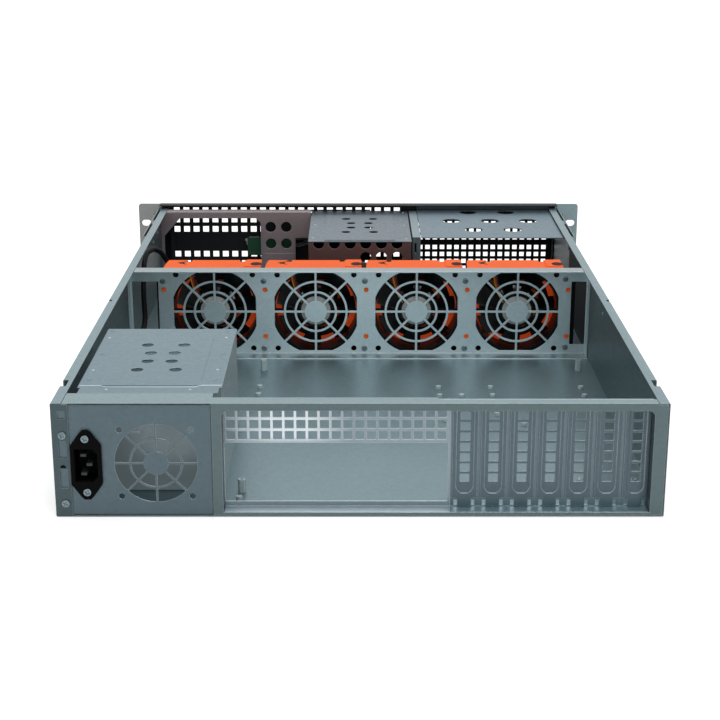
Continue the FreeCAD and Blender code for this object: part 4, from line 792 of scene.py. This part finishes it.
# The two ears are one brushed steel in two colours, which are painted light and shade; ears and handles
# get painted highlights on their edges.
for side, colour in (("left", (0.235, 0.246, 0.238)), ("right", (0.2, 0.268, 0.284))):
    coat(steel_material(
        f"{side} ear steel", colour, 0.42, 0.8, Line_Contrast=0.2, Edge_Light=0.2,
    ), f"ear_{side}")
coat(steel_material(
    "handle steel", (0.4, 0.4, 0.4), 0.3, 0.9, Crystal_Contrast=0.0, Edge_Light=0.2,
), "handle_left", "handle_right")
HANDLE_SCREW_PLACES = [(side * 223.5, 326.5, z) for side in (-1, 1) for z in (11.0, 77.0)]
cross_heads("handle_screws", HANDLE_SCREW_PLACES, radius=3.0, height=1.7)
# Blanking plates close the mesh behind the board and in front of the drive cage. A stiffener
# and a return run along the mesh's upper row.
for name, foot, near, far in (("left", 55.0, -103.0, -72.0), ("right", 26.0, -71.0, 13.0)):
    extruded(f"blanking_plate_{name}", [
        (327.2, foot), (328.2, foot), (328.2, 77.0), (324.6, 77.0), (324.6, 76.2), (327.2, 76.2),
    ], near, far, "x", "case", panel_black)
for name, low, high, far in (("stiffener", 80.4, 82.6, 13.0), ("top_return", 85.1, 87.0, 60.0)):
    extruded(
        f"panel_{name}", rectangle((325.7, low), (326.3, high)), -190.0, far, "x",
        "case", panel_black,
    )


# ---- Front board, sockets and buttons --------------------------------------------------------
# A small green board behind the panel's solid band carries two sockets and two switches.
coat(moulded_material("board varnish", (0.008, 0.062, 0.030), 0.35, Tone_Change=0.6), "front_board")
# The socket shells' edges get painted highlights.
coat(steel_material(
    "socket shell", (0.6, 0.6, 0.6), 0.25, 0.95, Crystal_Contrast=0.0, Edge_Light=0.2,
), "usb_sockets")
coat(moulded_material("button caps", (0.35, 0.36, 0.37), 0.35), "power_button", "reset_button")
# Pale parts stand on the board's rear side. Each row is a middle in x and z, then a half
# width and a half height.
part_grey = moulded_material("board parts", (0.30, 0.36, 0.31), 0.4)
BOARD_PARTS = [
    (-122.0, 51.0, 2.4, 1.0), (-112.0, 53.0, 2.6, 1.2), (-108.5, 47.8, 1.2, 1.4),
    (-96.0, 49.0, 3.0, 1.6), (-88.0, 52.0, 1.4, 2.2), (-80.0, 48.0, 2.4, 1.2),
]
PART_BACK_Y, BOARD_Y = 316.2, 317.4
for k, (x, z, wide, high) in enumerate(BOARD_PARTS, start=1):
    outline = rectangle((x - wide, PART_BACK_Y), (x + wide, BOARD_Y))
    extruded(f"board_part_{k}", outline, z - high, z + high, "z", "case", part_grey)
# Three grey leads from the board hang in a loop beside the bracket.
grey_lead = moulded_material("grey lead", (0.20, 0.21, 0.21), 0.4)
for k in range(3):
    vertices, faces = wire([
        (-73.2, 317.2, 52.6 - 1.2 * k), (-63.0, 321.0, 54.6 - 1.8 * k),
        (-54.5 - 2.2 * k, 325.0, 52.0 - 1.8 * k), (-54.5 - 2.2 * k, 325.0, 45.0 + 1.2 * k),
        (-63.0, 321.0, 42.6 + 1.5 * k), (-73.2, 317.2, 43.0 + 1.2 * k),
    ], radius=0.5)
    piece_from(f"board_lead_{k + 1}", vertices, faces, "case", grey_lead)


# ---- Board standoffs and floor bosses --------------------------------------------------------
# Hexagonal plated posts for the system board, and short pressed studs for smaller boards.
coat(moulded_material(
    "stud zinc", (0.36, 0.44, 0.45), 0.22, Tone_Change=0.1, specular=0.9,
), "standoffs", "floor_bosses")


# ---- Floor and light -------------------------------------------------------------------------
# A plain pale floor lies under an even sky, with a soft lamp high behind the case and one
# high ahead of it. Both floor and sky show white to the camera and to reflections.
FLOOR_REACH, FLOOR_Z = 30.0, -0.0004
FLOOR_GLOW, SKY_LIGHT = 0.36, 0.72
floor_mesh = bpy.data.meshes.new("studio_floor")
floor_corners = [(x, y, FLOOR_Z) for x, y in rectangle((-FLOOR_REACH,) * 2, (FLOOR_REACH,) * 2)]
floor_mesh.from_pydata(floor_corners, [], [(0, 1, 2, 3)])
floor = bpy.data.objects.new("studio_floor", floor_mesh)
scene.collection.objects.link(floor)
floor_paint, tree, shader = new_material("pale floor", 0.0, 0.9)
shader.inputs["Base Color"].default_value = (0.86, 0.86, 0.86, 1.0)
shader.inputs["Emission Color"].default_value = WHITE


def shown_rays(tree):
    """One for a camera, glossy or transmission ray, and nought for the rays that light the object."""
    rays = tree.nodes.new("ShaderNodeLightPath")
    total = rays.outputs["Is Camera Ray"]
    for label in ("Is Glossy Ray", "Is Transmission Ray"):
        total = calculate(tree, "ADD", total, rays.outputs[label])
        total.node.use_clamp = True
    return total


floor_glow = calculate(tree, "MULTIPLY", shown_rays(tree), FLOOR_GLOW)
tree.links.new(floor_glow, shader.inputs["Emission Strength"])
floor_mesh.materials.append(floor_paint)

world = bpy.data.worlds.new("even_sky")
world.use_nodes = True
scene.world = world
tree = world.node_tree
sky = tree.nodes["Background"]
sky.inputs["Color"].default_value = WHITE
sky_level = fade(tree, shown_rays(tree), 0.0, 1.0, SKY_LIGHT)
tree.links.new(sky_level, sky.inputs["Strength"])


def soft_lamp(name, place, aim, size, watts):
    """A square area lamp that faces a point."""
    data = bpy.data.lights.new(name, "AREA")
    data.size = size
    data.energy = watts
    lamp = bpy.data.objects.new(name, data)
    lamp.location = place
    lamp.rotation_euler = (Vector(aim) - Vector(place)).to_track_quat("-Z", "Y").to_euler()
    scene.collection.objects.link(lamp)


soft_lamp("key_lamp", (0.6, -1.2, 2.2), (0.0, 0.0, 0.0), 1.6, 22.0)
soft_lamp("top_lamp", (-0.4, 0.8, 2.4), (0.0, 0.1, 0.0), 1.8, 14.0)
